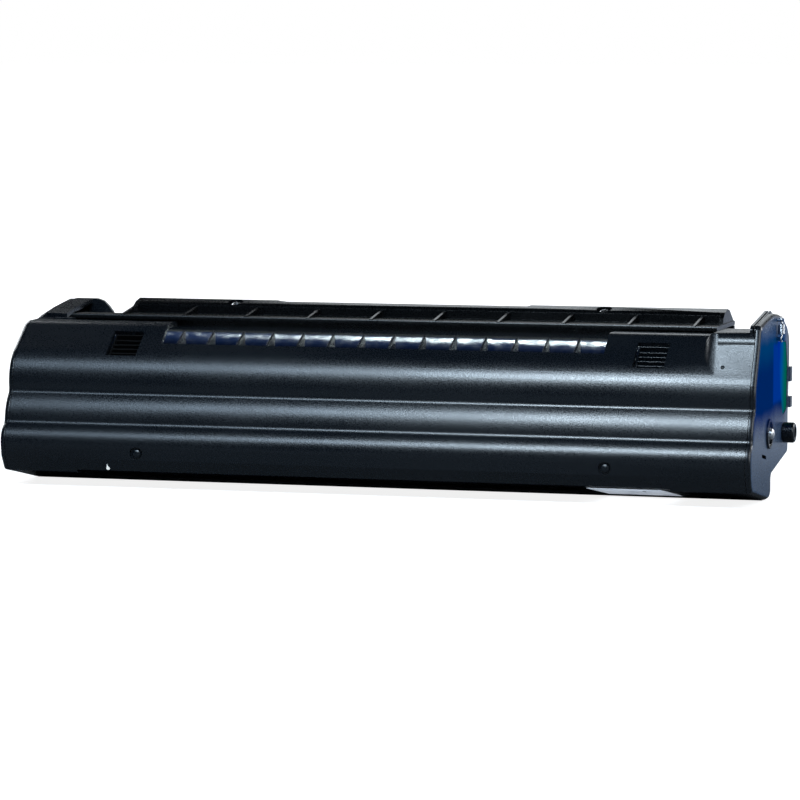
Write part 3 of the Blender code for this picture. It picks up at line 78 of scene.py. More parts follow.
# The hopper's section, as (y, z) in millimetres
LIP = (-45.3, 7.7)
TOE = (-49.3, 14.6)
BELLY_CREST = (-50.1, 20.0)
GROOVE_LOW = (-44.6, 30.9)
GROOVE_HIGH = (-38.2, 45.6)
SHOULDER = (-30.0, 66.5)
BROW = (-18.0, 75.6)
TOP_FRONT = (-11.0, 77.9)
TOP_BACK = (-2.0, 77.9)
HEEL = (-6.0, 0.0)
BELLY_BACK = 13.0
BELLY_TOP = 36.5
BELLY_CORNER = -1.5
BULGES = {"low": 1.9, "middle": 1.5, "high": 3.3, "brow": 0.8}
GROOVE_ROUND = 2.6

# Stations along X, in millimetres
SHELL_HALF = 181.0
BULKHEAD_FACE = 166.5
BULKHEAD_WALL = 2.5
ARM_NOTCH_LOW = 173.7
PLATE_LOW = 181.3
PLATE_HIGH = 184.0

# Raised corner block, and the low fin at its outer edge
BLOCK_FACE_X = 163.8
BLOCK_ROUND = 7.0
BLOCK_LEFT = BLOCK_FACE_X - BLOCK_ROUND
BLOCK_CUT_LENGTH = 70.0
BLOCK_FOOT = (-37.4, 57.0)
BLOCK_FACE_TOP = (-28.2, 74.2)
BLOCK_TOP = 80.2
BLOCK_CORNER = 5.0
BLOCK_CORNER_BULGE = 1.4
FIN_WALL = 2.7
FIN_PROFILE = [
    (-23.0, 79.0),
    (-25.6, 79.0),
    (-25.4, 81.8),
    (-23.4, 83.3),
    (12.5, 87.9),
    (16.5, 86.4),
    (18.0, 81.0),
    (-1.0, 78.6),
]
FIN_GROOVE = [(-26.2, 79.0), (-26.0, 82.1), (-23.6, 83.9), (12.5, 88.5), (17.1, 86.7), (18.6, 81.0)]
FIN_GROOVE_X = 179.6
FIN_GROOVE_WIDTH = 0.8
DIMPLE = (167.2, -33.4, 64.5)
DIMPLE_RADIUS = 1.25
DIMPLE_LIFT = 0.75
FLECK = [(-129.4, 12.3), (-129.0, 10.9), (-128.4, 10.4), (-128.7, 9.5), (-129.6, 9.3), (-130.3, 9.9)]

# Slot, windows, pins and the recess underneath
SLOT_HALF = 109.5
SLOT_LIP = (-26.6, 69.4)
SLOT_FLOOR = 66.5
WINDOW_LOW = (-33.3, 63.3)
WINDOW_HIGH = (-20.0, 74.1)
WINDOW_WIDTH = 15.4
WINDOW_X = {"left": -127.5, "right": 132.2}
PIN_X = {"left": -114.0, "right": 115.5}
PIN_Z = 17.8
PIN_RECESS = 3.2
PIN_RECESS_DEPTH = 1.3
PIN_RADIUS = 2.3
UNDER_RECESS_HALF = 145.5
UNDER_RECESS_DEPTH = 1.1
REGISTER_MARK = (130.6, -33.0)

# End housings
REAR_EDGE = [(48.4, 70.0), (48.4, 61.0), (47.0, 49.0), (45.6, 36.0), (46.2, 23.0), (45.4, 17.2)]
UNDER_EDGE = [(15.0, 12.8), (1.2, 10.8), (1.4, 3.0), (-2.0, 0.4), (-6.4, 0.4)]
RIGHT_HUMP = [
    (-25.4, 81.8),
    (-23.4, 83.3),
    (-10.6, 85.2),
    (4.0, 86.8),
    (10.0, 86.9),
    (24.0, 85.4),
    (31.0, 84.1),
    (42.0, 79.2),
    (47.0, 74.6),
]
LEFT_HUMP_FRONT = (-1.0, 78.1)
LEFT_HUMP = [(6.0, 79.8), (22.0, 82.4), (44.0, 85.0), (47.0, 83.6)]
LEFT_RIM_FRONT = (8.0, 80.1)
RIM_DEPTH = {-1: 10.6, 1: 12.5}
LEFT_WALL_FRONT = 45.0
LEFT_WALL_BACK = 47.0
LEFT_WALL_LOW = 75.6
LEFT_WALL_HIGH = 85.1
LEFT_WALL_REACH = 160.0
HINGE = (-5.6, 31.4)
HINGE_RING = 7.0
BOSS = (31.0, 28.6)
BOSS_RADIUS = 4.9
BOSS_BORE = 2.6
BOSS_REACH = 6.0
SPRING_Y = 13.0
SPRING_TOP = {-1: 77.0, 1: 83.6}
SPRING_SPAN = 9.0
SPRING_WIRE = 0.4
SPRING_COIL = 1.3
SPRING_HOOK = 2.3
SPRING_GAP = 2.1
COIL_STEPS = 14
LUGS = ((52.0, 59.0), (39.6, 44.8))
SLIT = [(-22.8, 21.9), (-12.0, 20.0), (-12.0, 21.7), (-22.8, 23.6)]
SIDE_PANEL = [(15.0, 73.5), (38.0, 71.5), (41.5, 60.0), (40.5, 39.0), (30.0, 36.8), (23.0, 50.0)]
SIDE_PANEL_DEPTH = 0.6
SIDE_PANEL_CENTRE = (30.0, 55.0)
SIDE_PANEL_FIT = (0.985, 0.99)

# Drum, rollers, rear cover and its screws
TUBE_WALL = 1.0
TUBE_CHAMFER = 0.4
CHARGE_RUBBER_HALF = 158.0
CHARGE_SHAFT_RADIUS = 3.0
COVER_BEVEL = [(-1.35, 79.3), (-0.35, 81.3), (-1.35, 81.3)]
COVER_SCREW_Y = 25.0
COVER_SCREW_Z = 84.0
COVER_SCREW_X = {"left": -88.0, "right": 98.0}
COVER_SCREW_TILT = math.radians(18.0)

# The camera that took the photograph, as it stands round the cartridge
PHOTO_SIZE = 800
VIEW_AZIMUTH = math.radians(15.941)
VIEW_HEIGHT = math.radians(5.365)
VIEW_FOCAL_PIXELS = 3836.7
VIEW_DISTANCE = 1.80634
VIEW_SHIFT = (0.015276, 0.015098)
VIEW_CENTRE = (0.0, -0.045, 0.031)
SENSOR_WIDTH = 36.0


class CartridgeSizes(bpy.types.PropertyGroup):
    """How finely and how softly the shells are made."""

    shell_wall: FloatProperty(
        name="Shell wall", description="Thickness of the hopper's wall", default=0.0024, unit="LENGTH"
    )
    edge_radius: FloatProperty(
        name="Edge radius", description="Rounding of the moulded edges", default=0.00045, unit="LENGTH"
    )
    plate_edge_radius: FloatProperty(
        name="End plate edge", description="Rounding of the end housings' outer edge",
        default=0.0026, unit="LENGTH",
    )
    curve_steps: IntProperty(
        name="Curve steps", description="Points along each bulge of the hopper", default=22, min=4, max=64
    )
    round_steps: IntProperty(
        name="Round steps", description="Points round a turned piece", default=64, min=12, max=256
    )
    spring_turns: IntProperty(
        name="Spring turns", description="Turns of each tension spring", default=9, min=3, max=30
    )


class CartridgeFinish(bpy.types.PropertyGroup):
    """Colours and grain of the finishes."""

    plastic: FloatVectorProperty(
        name="Black plastic", description="Colour of the moulded housings", subtype="COLOR", size=3,
        default=(0.0013, 0.0025, 0.0042),
    )
    plastic_roughness: FloatProperty(
        name="Plastic roughness", description="Roughness of the moulded housings", subtype="FACTOR",
        default=0.28, min=0.0, max=1.0,
    )
    grain_size: FloatProperty(
        name="Grain size", description="Width of one speck of the moulded grain", default=0.0006, unit="LENGTH"
    )
    # Blue of the painted reflection laid over the right end housing's outer face
    end_reflection_blue: FloatVectorProperty(
        name="End reflection blue", description="Blue of the painted reflection on the right end", subtype="COLOR", size=3,
        default=(0.0, 0.030, 0.105),
    )
    foil_green: FloatVectorProperty(
        name="End green", description="Green edge of the side panel", subtype="COLOR", size=3,
        default=(0.0, 0.085, 0.050),
    )
    drum_blue: FloatVectorProperty(
        name="Drum coating", description="Colour of the drum's coating", subtype="COLOR", size=3,
        default=(0.0008, 0.0018, 0.0060),
    )


class StudioSettings(bpy.types.PropertyGroup):
    """Light and floor of the studio."""

    key_power: FloatProperty(
        name="Key light", description="Power of the large soft light", default=18.0, unit="POWER"
    )
    near_power: FloatProperty(
        name="Near light", description="Power of the small soft light close by", default=3.4, unit="POWER"
    )
    side_power: FloatProperty(
        name="Side light", description="Power of the soft light at the right", default=6.0, unit="POWER"
    )
    rear_power: FloatProperty(
        name="Rear light", description="Power of the soft light behind", default=2.6, unit="POWER"
    )
    back_power: FloatProperty(
        name="Back lights", description="Power of each soft light behind the ends", default=16.0, unit="POWER"
    )
    slot_power: FloatProperty(
        name="Slot light", description="Power of the light that only the drum mirrors",
        default=560.0, unit="POWER",
    )
    horizon_glow: FloatProperty(
        name="Horizon glow", description="Brightness of the pale band behind, in reflections",
        default=0.45, min=0.0,
    )
    floor_tone: FloatProperty(
        name="Floor", description="Paleness of the floor", subtype="FACTOR", default=0.86, min=0.0, max=1.0
    )


def arc(start, end, bulge, steps):
    """Points after start up to end, on an arc that bulges to the left of the way."""
    a, b = Vector(start), Vector(end)
    chord = b - a
    left = Vector((-chord.y, chord.x)).normalized()
    radius = (chord.length_squared / 4 + bulge * bulge) / (2 * bulge)
    centre = (a + b) / 2 + left * (bulge - radius)
    half = math.asin(min(1.0, chord.length / 2 / radius))
    first = math.atan2(a.y - centre.y, a.x - centre.x)
    turns = (first - 2 * half * i / steps for i in range(1, steps + 1))
    return [(centre.x + radius * math.cos(turn), centre.y + radius * math.sin(turn)) for turn in turns]


def filleted(points, radius, steps=5, closed=True):
    """The outline with each corner rounded, as far as its sides allow."""
    count = len(points)
    rounded = []
    for i, point in enumerate(points):
        if not closed and i in (0, count - 1):
            rounded.append(tuple(point))
            continue
        corner = Vector(point)
        to_last = Vector(points[i - 1]) - corner
        to_next = Vector(points[(i + 1) % count]) - corner
        angle = to_last.angle(to_next)
        if angle > math.radians(176):
            rounded.append(tuple(corner))
            continue
        reach = radius / math.tan(angle / 2)
        reach = min(reach, 0.45 * to_last.length, 0.45 * to_next.length)
        start = corner + to_last.normalized() * reach
        end = corner + to_next.normalized() * reach
        for step in range(steps + 1):
            t = step / steps
            rounded.append(tuple(start * (1 - t) ** 2 + corner * 2 * t * (1 - t) + end * t * t))
    return rounded


def eased(before, after):
    """Two curves that meet in a groove, as one with the groove rounded out."""
    groove = Vector(before[-1])
    kept = [point for point in before if (Vector(point) - groove).length > GROOVE_ROUND / 2]
    rest = [point for point in after if (Vector(point) - groove).length > GROOVE_ROUND / 2]
    start, end = Vector(kept[-1]), Vector(rest[0])
    shares = [i / 8 for i in range(1, 8)]
    bend = [tuple(start * (1 - t) ** 2 + groove * 2 * t * (1 - t) + end * t * t) for t in shares]
    return kept + bend + rest


def wave(steps):
    """The hopper's front, from the lip to the flat top."""
    low = arc(BELLY_CREST, GROOVE_LOW, BULGES["low"], steps)
    middle = arc(GROOVE_LOW, GROOVE_HIGH, BULGES["middle"], steps)
    high = arc(GROOVE_HIGH, SHOULDER, BULGES["high"], steps)
    path = [LIP, TOE, BELLY_CREST] + eased(eased(low, middle), high) + [BROW]
    path += arc(BROW, TOP_FRONT, BULGES["brow"], steps // 3)
    return path


def link(name, made):
    """A new object in the scene from a bmesh, facing outwards."""
    bmesh.ops.recalc_face_normals(made, faces=made.faces)
    mesh = bpy.data.meshes.new(name)
    made.to_mesh(mesh)
    made.free()
    obj = bpy.data.objects.new(name, mesh)
    bpy.context.scene.collection.objects.link(obj)
    return obj


def prism(name, outline, x_low, x_high):
    """An outline in the YZ plane, in millimetres, extruded along X."""
    made = bmesh.new()
    near = [made.verts.new((x_low * MM, y * MM, z * MM)) for y, z in outline]
    far = [made.verts.new((x_high * MM, y * MM, z * MM)) for y, z in outline]
    made.faces.new(near)
    made.faces.new(reversed(far))
    for i in range(len(near)):
        j = (i + 1) % len(near)
        made.faces.new((near[i], far[i], far[j], near[j]))
    return link(name, made)


def slanted(name, corners, way):
    """A flat face of (x, y, z) corners in millimetres, extruded along way."""
    made = bmesh.new()
    near = [made.verts.new(Vector(corner) * MM) for corner in corners]
    far = [made.verts.new((Vector(corner) + Vector(way)) * MM) for corner in corners]
    made.faces.new(near)
    made.faces.new(reversed(far))
    for i in range(len(near)):
        j = (i + 1) % len(near)
        made.faces.new((near[i], far[i], far[j], near[j]))
    return link(name, made)


def swept(name, path, x_low, x_high, wall):
    """An open path in the YZ plane, in millimetres, swept along X and thickened to its right-hand side."""
    points = [Vector(point) for point in path]
    inner = []
    for i, point in enumerate(points):
        before = (point - points[i - 1]).normalized() if i else (points[1] - point).normalized()
        after = (points[i + 1] - point).normalized() if i + 1 < len(points) else before
        right = Vector((before.y + after.y, -before.x - after.x)).normalized()
        share = max(0.35, right.dot(Vector((before.y, -before.x))))
        inner.append(tuple(point + right * (wall / share)))
    return prism(name, [tuple(p) for p in points] + inner[::-1], x_low, x_high)


def turned(name, profile, place, axis, steps):
    """A profile of (along, radius) in millimetres, turned about an axis through place."""
    made = bmesh.new()
    rings = []
    angles = [2 * math.pi * i / steps for i in range(steps)]
    for along, radius in profile:
        corners = [(radius * math.cos(a), radius * math.sin(a), along) for a in angles if radius > 0]
        corners = corners or [(0, 0, along)]
        rings.append([made.verts.new(Vector(corner) * MM) for corner in corners])
    closed = profile[0][1] > 0
    pairs = list(zip(rings, rings[1:])) + ([(rings[-1], rings[0])] if closed else [])
    for low, high in pairs:
        for i in range(steps):
            j = (i + 1) % steps
            corners = [low[i % len(low)], low[j % len(low)], high[j % len(high)], high[i % len(high)]]
            made.faces.new(list(dict.fromkeys(corners)))
    turn = Vector((0, 0, 1)).rotation_difference(Vector(axis)).to_matrix().to_4x4()
    bmesh.ops.transform(made, matrix=Matrix.Translation(Vector(place) * MM) @ turn, verts=made.verts)
    return link(name, made)


def block(name, low, high, lean=0.0, about=(0, 0, 0)):
    """A box between two corners in millimetres, leaned about a line along X."""
    made = bmesh.new()
    size = [(b - a) * MM for a, b in zip(low, high)]
    middle = Vector([(a + b) / 2 * MM for a, b in zip(low, high)])
    pivot = Vector(about) * MM
    place = Matrix.Translation(pivot) @ Matrix.Rotation(lean, 4, "X") @ Matrix.Translation(middle - pivot)
    bmesh.ops.create_cube(made, size=1, matrix=place @ Matrix.Diagonal((*size, 1)))
    return link(name, made)


def combine(obj, others, operation):
    """Cuts the others from the object or joins them to it, and clears them away."""
    for other in others:
        step = obj.modifiers.new(other.name, "BOOLEAN")
        step.operation = operation
        step.object = other
    settle(obj)
    for other in others:
        bpy.data.objects.remove(other, do_unlink=True)
    return obj


def settle(obj):
    """Applies the modifiers."""
    bpy.context.view_layer.update()
    graph = bpy.context.evaluated_depsgraph_get()
    mesh = bpy.data.meshes.new_from_object(obj.evaluated_get(graph))
    obj.modifiers.clear()
    obj.data = mesh
    return obj


def soften(obj, radius, segments=2, angle=32.0):
    """Rounds the edges and shades the faces as one skin."""
    edges = obj.modifiers.new("edges", "BEVEL")
    edges.limit_method = "ANGLE"
    edges.angle_limit = math.radians(angle)
    edges.width = radius
    edges.segments = segments
    edges.use_clamp_overlap = True
    return shaded(settle(obj))


def shaded(obj):
    """Shades the faces as one skin, apart from sharp edges."""
    obj.data.shade_smooth()
    obj.data.set_sharp_from_angle(angle=math.radians(50))
    normals = obj.modifiers.new("normals", "WEIGHTED_NORMAL")
    normals.keep_sharp = True
    return settle(obj)


def round_face(obj, x, radius, segments):
    """Rounds the edges of the end face at x, in metres."""
    mesh = obj.data
    weights = mesh.attributes.new("bevel_weight_edge", "FLOAT", "EDGE")
    for edge, weight in zip(mesh.edges, weights.data):
        weight.value = float(all(abs(mesh.vertices[i].co.x - x) < 1e-6 for i in edge.vertices))
    edges = obj.modifiers.new("face_edges", "BEVEL")
    edges.limit_method = "WEIGHT"
    edges.width = radius
    edges.segments = segments
    return settle(obj)


def copied(node, name):
    """A copy of a CAD node's mesh, welded and with its flat faces whole again."""
    made = bmesh.new()
    made.from_mesh(frame["nodes"][node].data)
    bmesh.ops.remove_doubles(made, verts=made.verts, dist=2e-6)
    bmesh.ops.dissolve_limit(made, angle_limit=math.radians(0.4), verts=made.verts, edges=made.edges)
    return link(name, made)


def dressed(obj, nodes, finish):
    """Puts a finished piece in place of its CAD nodes, on their body."""
    obj.data.materials.clear()
    obj.data.materials.append(finish)
    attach(obj, frame["nodes"][nodes[0]]["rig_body"])
    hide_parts(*nodes)
    return obj


class Wire:
    """A socket of a shader tree, whose operators add Math nodes."""

    def __init__(self, tree, socket):
        self.tree = tree
        self.socket = socket

    def maths(self, operation, *values):
        return self.tree.add("ShaderNodeMath", {"operation": operation}, dict(enumerate(values)))

    def __add__(self, other):
        return self.maths("ADD", self, other)

    __radd__ = __add__

    def __mul__(self, other):
        return self.maths("MULTIPLY", self, other)

    __rmul__ = __mul__

    def __sub__(self, other):
        return self.maths("SUBTRACT", self, other)

    def __rsub__(self, other):
        return self.maths("SUBTRACT", other, self)

    def root(self):
        return self.maths("SQRT", self)

    def absolute(self):
        return self.maths("ABSOLUTE", self)

    def within(self, low, high, soft):
        """1 between two values, fading to 0 over a soft edge outside them."""
        rise = self.tree.ramp(self, low - soft, low)
        fall = self.tree.ramp(self, high, high + soft)
        return rise * (1 - fall)


class Tree:
    """The nodes of one material or of the world."""

    def __init__(self, node_tree):
        self.nodes = node_tree.nodes
        self.links = node_tree.links

    def add(self, kind, settings=None, inputs=None, output=0):
        """A node with its settings, and values or wires for its sockets."""
        node = self.nodes.new(kind)
        for name, value in (settings or {}).items():
            if name == "stops":
                self.set_stops(node.color_ramp, value)
            else:
                setattr(node, name, value)
        for name, value in (inputs or {}).items():
            self.feed(node.inputs[name], value)
        return Wire(self, node.outputs[output])

    @staticmethod
    def set_stops(ramp, stops):
        while len(ramp.elements) < len(stops):
            ramp.elements.new(1.0)
        for element, (place, colour) in zip(ramp.elements, stops):
            element.position = place
            element.color = (*colour, 1.0)

    def feed(self, socket, value):
        """Gives a socket a wire or a value."""
        if isinstance(value, Wire):
            self.links.new(value.socket, socket)
        elif isinstance(value, tuple) and socket.type == "RGBA":
            socket.default_value = (*value, 1.0)
        else:
            socket.default_value = value

    def place(self, kind="Object"):
        """The point on the object, in metres, or the direction of a ray in the world."""
        return self.add("ShaderNodeTexCoord", output=kind)

    def axes(self, kind="Object"):
        """The three numbers of a place."""
        split = self.add("ShaderNodeSeparateXYZ", {}, {0: self.place(kind)})
        return [Wire(self, socket) for socket in split.socket.node.outputs]

    def ramp(self, value, low, high, low_out=0.0, high_out=1.0, shape="SMOOTHSTEP"):
        """Maps a range of values to another, held at its ends."""
        inputs = {"Value": value, "From Min": low, "From Max": high, "To Min": low_out, "To Max": high_out}
        return self.add("ShaderNodeMapRange", {"interpolation_type": shape}, inputs)

    def mix(self, share, a, b):
        """A colour between two colours."""
        return self.add("ShaderNodeMix", {"data_type": "RGBA"}, {0: share, 6: a, 7: b}, output=2)


class Paint(Tree):
    """One material."""

    def __init__(self, name, **constants):
        self.material = bpy.data.materials.new(name)
        self.material.use_nodes = True
        super().__init__(self.material.node_tree)
        self.shader = self.nodes["Principled BSDF"]
        for label, value in constants.items():
            self.feed(self.shader.inputs[label.replace("_", " ").title().replace("Ior", "IOR")], value)

    def drive(self, **wires):
        """Feeds the shader's sockets that change over the surface."""
        for name, wire in wires.items():
            self.feed(self.shader.inputs[name.replace("_", " ").title()], wire)
        return self.material

    def overlay(self, share, **wires):
        """Lays a matt second shader over the first."""
        inputs = {name.replace("_", " ").title(): wire for name, wire in wires.items()}
        over = self.add("ShaderNodeBsdfPrincipled", {}, {"Specular IOR Level": 0.0, **inputs})
        blend = self.add("ShaderNodeMixShader", {}, {0: share, 1: Wire(self, self.shader.outputs[0]), 2: over})
        self.feed(self.nodes["Material Output"].inputs["Surface"], blend)
        return self.material

    def noise(self, size, detail=2.0, roughness=0.5, stretch=(1, 1, 1)):
        """Noise with specks of about the given width in metres."""
        scale = tuple(share / size for share in stretch)
        where = self.add("ShaderNodeMapping", {}, {"Vector": self.place(), "Scale": scale})
        inputs = {"Vector": where, "Scale": 1.0, "Detail": detail, "Roughness": roughness}
        return self.add("ShaderNodeTexNoise", {}, inputs)

    def bump(self, height, depth, strength):
        """A relief of the given depth in metres."""
        return self.add("ShaderNodeBump", {}, {"Height": height, "Distance": depth, "Strength": strength})


def shades(colour, *shares):
    """The colour at each share of its brightness."""
    return [tuple(c * share for c in colour) for share in shares]


def moulded_plastic(name, settings, tone=1.0, shine=0.5):
    """Black plastic with a fine eroded grain, faint flow marks and rubbed specks."""
    # A tone below 1 darkens every colour of the plastic, as a painted shade
    dark, pale, rubbed = shades(settings.plastic, 0.75 * tone, 1.35 * tone, 2.6 * tone)
    paint = Paint(name, specular_ior_level=shine)
    grain = paint.noise(settings.grain_size, 3.0, 0.65)
    flow = paint.noise(0.035, 3.0, 0.55, (0.35, 1, 1))
    scuff = paint.noise(0.0045, 5.0, 0.7)
    marks = paint.ramp(scuff, 0.66, 0.74)
    base = paint.mix(marks * 0.25, paint.mix(grain, dark, pale), rubbed)
    rough = settings.plastic_roughness
    roughness = paint.ramp(flow, 0.3, 0.7, rough - 0.03, rough + 0.05)
    roughness = roughness + paint.ramp(grain, 0.35, 0.65, -0.05, 0.05)
    return paint.drive(base_color=base, roughness=roughness, normal=paint.bump(grain, 0.00009, 0.6))


def end_plastic(settings):
    """The right end housing's black plastic, with its outer face painted grey-blue and a band of painted blue
    reflection over it, brightest ahead of the side panel.
    """
    paint = Paint("end_plastic_painted_reflection", specular_ior_level=0.5)
    x, y, z = paint.axes()
    outer = paint.ramp(x, (PLATE_HIGH - 0.6) * MM, (PLATE_HIGH - 0.1) * MM)
    grain = paint.noise(settings.grain_size, 3.0, 0.65)
    drift = paint.noise(0.02, 2.0, 0.5) - 0.5
    level = z + drift * 0.006
    # A band of painted blue reflection across the outer face, between these heights, fading out towards the
    # rear
    painted_reflection = level.within(0.044, 0.072, 0.016) * outer
    painted_reflection = painted_reflection * paint.ramp(y, 0.030, 0.044, 1.0, 0.0)
    # The outer face's grey-blue is a painted reflection; the plastic itself is black, as on the edges and the
    # collar
    plain = paint.mix(grain, (0.022, 0.040, 0.076), (0.036, 0.062, 0.112))
    edge = paint.mix(grain, *shades(settings.plastic, 0.75, 1.35))
    roughness = 0.30 + paint.ramp(grain, 0.35, 0.65, -0.04, 0.04)
    bump = paint.bump(grain, 0.00004, 0.4)
    beyond, above = y - HINGE[0] * MM, z - HINGE[1] * MM
    from_hinge = (beyond * beyond + above * above).root()
    fitting = 1 - paint.ramp(from_hinge, (HINGE_RING + 0.1) * MM, (HINGE_RING + 0.4) * MM)
    fitting = fitting + paint.ramp(y, 0.0414, 0.0418)
    base = paint.mix(fitting, paint.mix(outer, edge, plain), edge)
    paint.drive(base_color=base, roughness=roughness, normal=bump)
    # Painted blue reflection: deeper low down, brighter ahead of the side panel, laid on as a matt layer
    deep = tuple(c * share for c, share in zip(settings.end_reflection_blue, (1.0, 0.45, 0.8)))
    blue = paint.mix(paint.ramp(level, 0.060, 0.072), deep, tuple(settings.end_reflection_blue))
    near_panel_reflection = y.within(0.006, 0.030, 0.003) * z.within(0.046, 0.071, 0.003)
    blue = paint.mix(near_panel_reflection, blue, (0.0, 0.024, 0.19))
    return paint.overlay(painted_reflection, base_color=blue, normal=bump)


def panel_foil(settings):
    """The side panel: bright blue at the front, green along its rear edge."""
    paint = Paint("panel_foil", specular_ior_level=0.0)
    _, y, z = paint.axes()
    drift = paint.noise(0.012, 2.0, 0.5) - 0.5
    across = y + (z - 0.055) * -0.08 + drift * 0.003
    blue, lighter, teal, green = (0.0, 0.018, 0.20), (0.0, 0.055, 0.21), (0.0, 0.075, 0.12), settings.foil_green
    stops = [(0.0, blue), (0.45, lighter), (0.7, teal), (1.0, green)]
    share = paint.ramp(across, 0.016, 0.040)
    base = paint.add("ShaderNodeValToRGB", {"stops": stops}, {"Fac": share})
    ripple = paint.noise(0.004, 2.0, 0.5)
    return paint.drive(
        base_color=base,
        roughness=paint.ramp(ripple, 0.3, 0.7, 0.22, 0.32),
        normal=paint.bump(ripple, 0.00004, 0.3),
    )


def brushed_metal(name, colour, roughness):
    """Bright metal with drawn lines and a slight haze."""
    paint = Paint(name, metallic=1.0)
    lines = paint.noise(0.0006, 3.0, 0.6)
    haze = paint.noise(0.006, 3.0, 0.5)
    base = paint.mix(haze, *shades(colour, 0.8, 1.0))
    rough = paint.ramp(lines, 0.3, 0.7, roughness * 0.75, roughness * 1.3)
    return paint.drive(base_color=base, roughness=rough, normal=paint.bump(lines, 0.00001, 0.35))


def smooth_solid(name, colour, roughness, size=0.0015, depth=0.00002, coat=0.0, shine=0.5):
    """A plain material with a faint texture and slight changes of tone."""
    paint = Paint(name, specular_ior_level=shine, coat_weight=coat, coat_roughness=0.05)
    fine = paint.noise(size, 3.0, 0.6)
    broad = paint.noise(0.012, 3.0, 0.5)
    base = paint.mix(broad, *shades(colour, 0.82, 1.0))
    rough = paint.ramp(fine, 0.3, 0.7, roughness - 0.05, roughness + 0.06)
    return paint.drive(base_color=base, roughness=rough, normal=paint.bump(fine, depth, 0.4))


def label_film():
    """White film, slightly creased, with one small dark register mark."""
    paint = Paint("label_film", specular_ior_level=0.5)
    x, y, _ = paint.axes()
    crease = paint.noise(0.007, 2.0, 0.6, (0.35, 1, 1))
    stain = paint.noise(0.0035, 4.0, 0.6, (0.5, 1, 1))
    base = paint.mix(paint.ramp(stain, 0.45, 0.75), (0.66, 0.72, 0.80), (0.36, 0.40, 0.47))
    across = (x - REGISTER_MARK[0] * MM).absolute()
    along = (y - REGISTER_MARK[1] * MM).absolute()
    dot = 1 - paint.ramp(across + along * 0.3, 0.0008, 0.0011)
    base = paint.mix(dot, base, (0.012, 0.016, 0.02))
    rough = paint.ramp(crease, 0.3, 0.7, 0.28, 0.4)
    return paint.drive(base_color=base, roughness=rough, normal=paint.bump(crease, 0.0002, 0.5))


def make_finishes(scene):
    """Every finish of the cartridge by name."""
    look = scene.cartridge_finish
    steel = (0.66, 0.67, 0.69)
    return {
        "plastic": moulded_plastic("black_plastic", look),
        # The rear cover: the black plastic at a fifth of its tone and with less shine; the darker tone is a
        # painted shade
        "lid": moulded_plastic("shaded_lid_plastic", look, tone=0.2, shine=0.25),
        # Near-black, low-shine plastic for the left louvre's slats, a painted shade; the right louvre's slats
        # keep the black plastic
        "dark": smooth_solid("shaded_louvre_plastic", (0.0008, 0.0008, 0.0010), 0.6, shine=0.1),
        "inner": smooth_solid("inner_black_plastic", (0.010, 0.010, 0.012), 0.5),
        "end": end_plastic(look),
        "foil": panel_foil(look),
        "acetal": smooth_solid("white_acetal", (0.70, 0.69, 0.64), 0.38),
        "drum": smooth_solid("drum_coating", look.drum_blue, 0.10, 0.004, 0.000002, 1.0),
        "rubber": smooth_solid("charge_rubber", (0.02, 0.02, 0.02), 0.55),
        "sleeve": brushed_metal("developer_sleeve", (0.14, 0.14, 0.15), 0.45),
        "steel": brushed_metal("plated_steel", steel, 0.22),
        "pin": brushed_metal("pin_steel", (0.85, 0.85, 0.86), 0.4),
        "wire": brushed_metal("spring_wire", steel, 0.18),
        "urethane": smooth_solid("blade_urethane", (0.60, 0.38, 0.13), 0.35),
        "film": label_film(),
        "fleck": smooth_solid("white_fleck", (0.80, 0.80, 0.76), 0.5),
    }


FINISHES = {}


class CartridgeStep(bpy.types.Operator):
    """Base of the building steps."""

    bl_options = {"REGISTER", "UNDO"}

    @property
    def finishes(self):
        if not FINISHES:
            FINISHES.update(make_finishes(bpy.context.scene))
        return FINISHES

    @property
    def sizes(self):
        return bpy.context.scene.cartridge_sizes


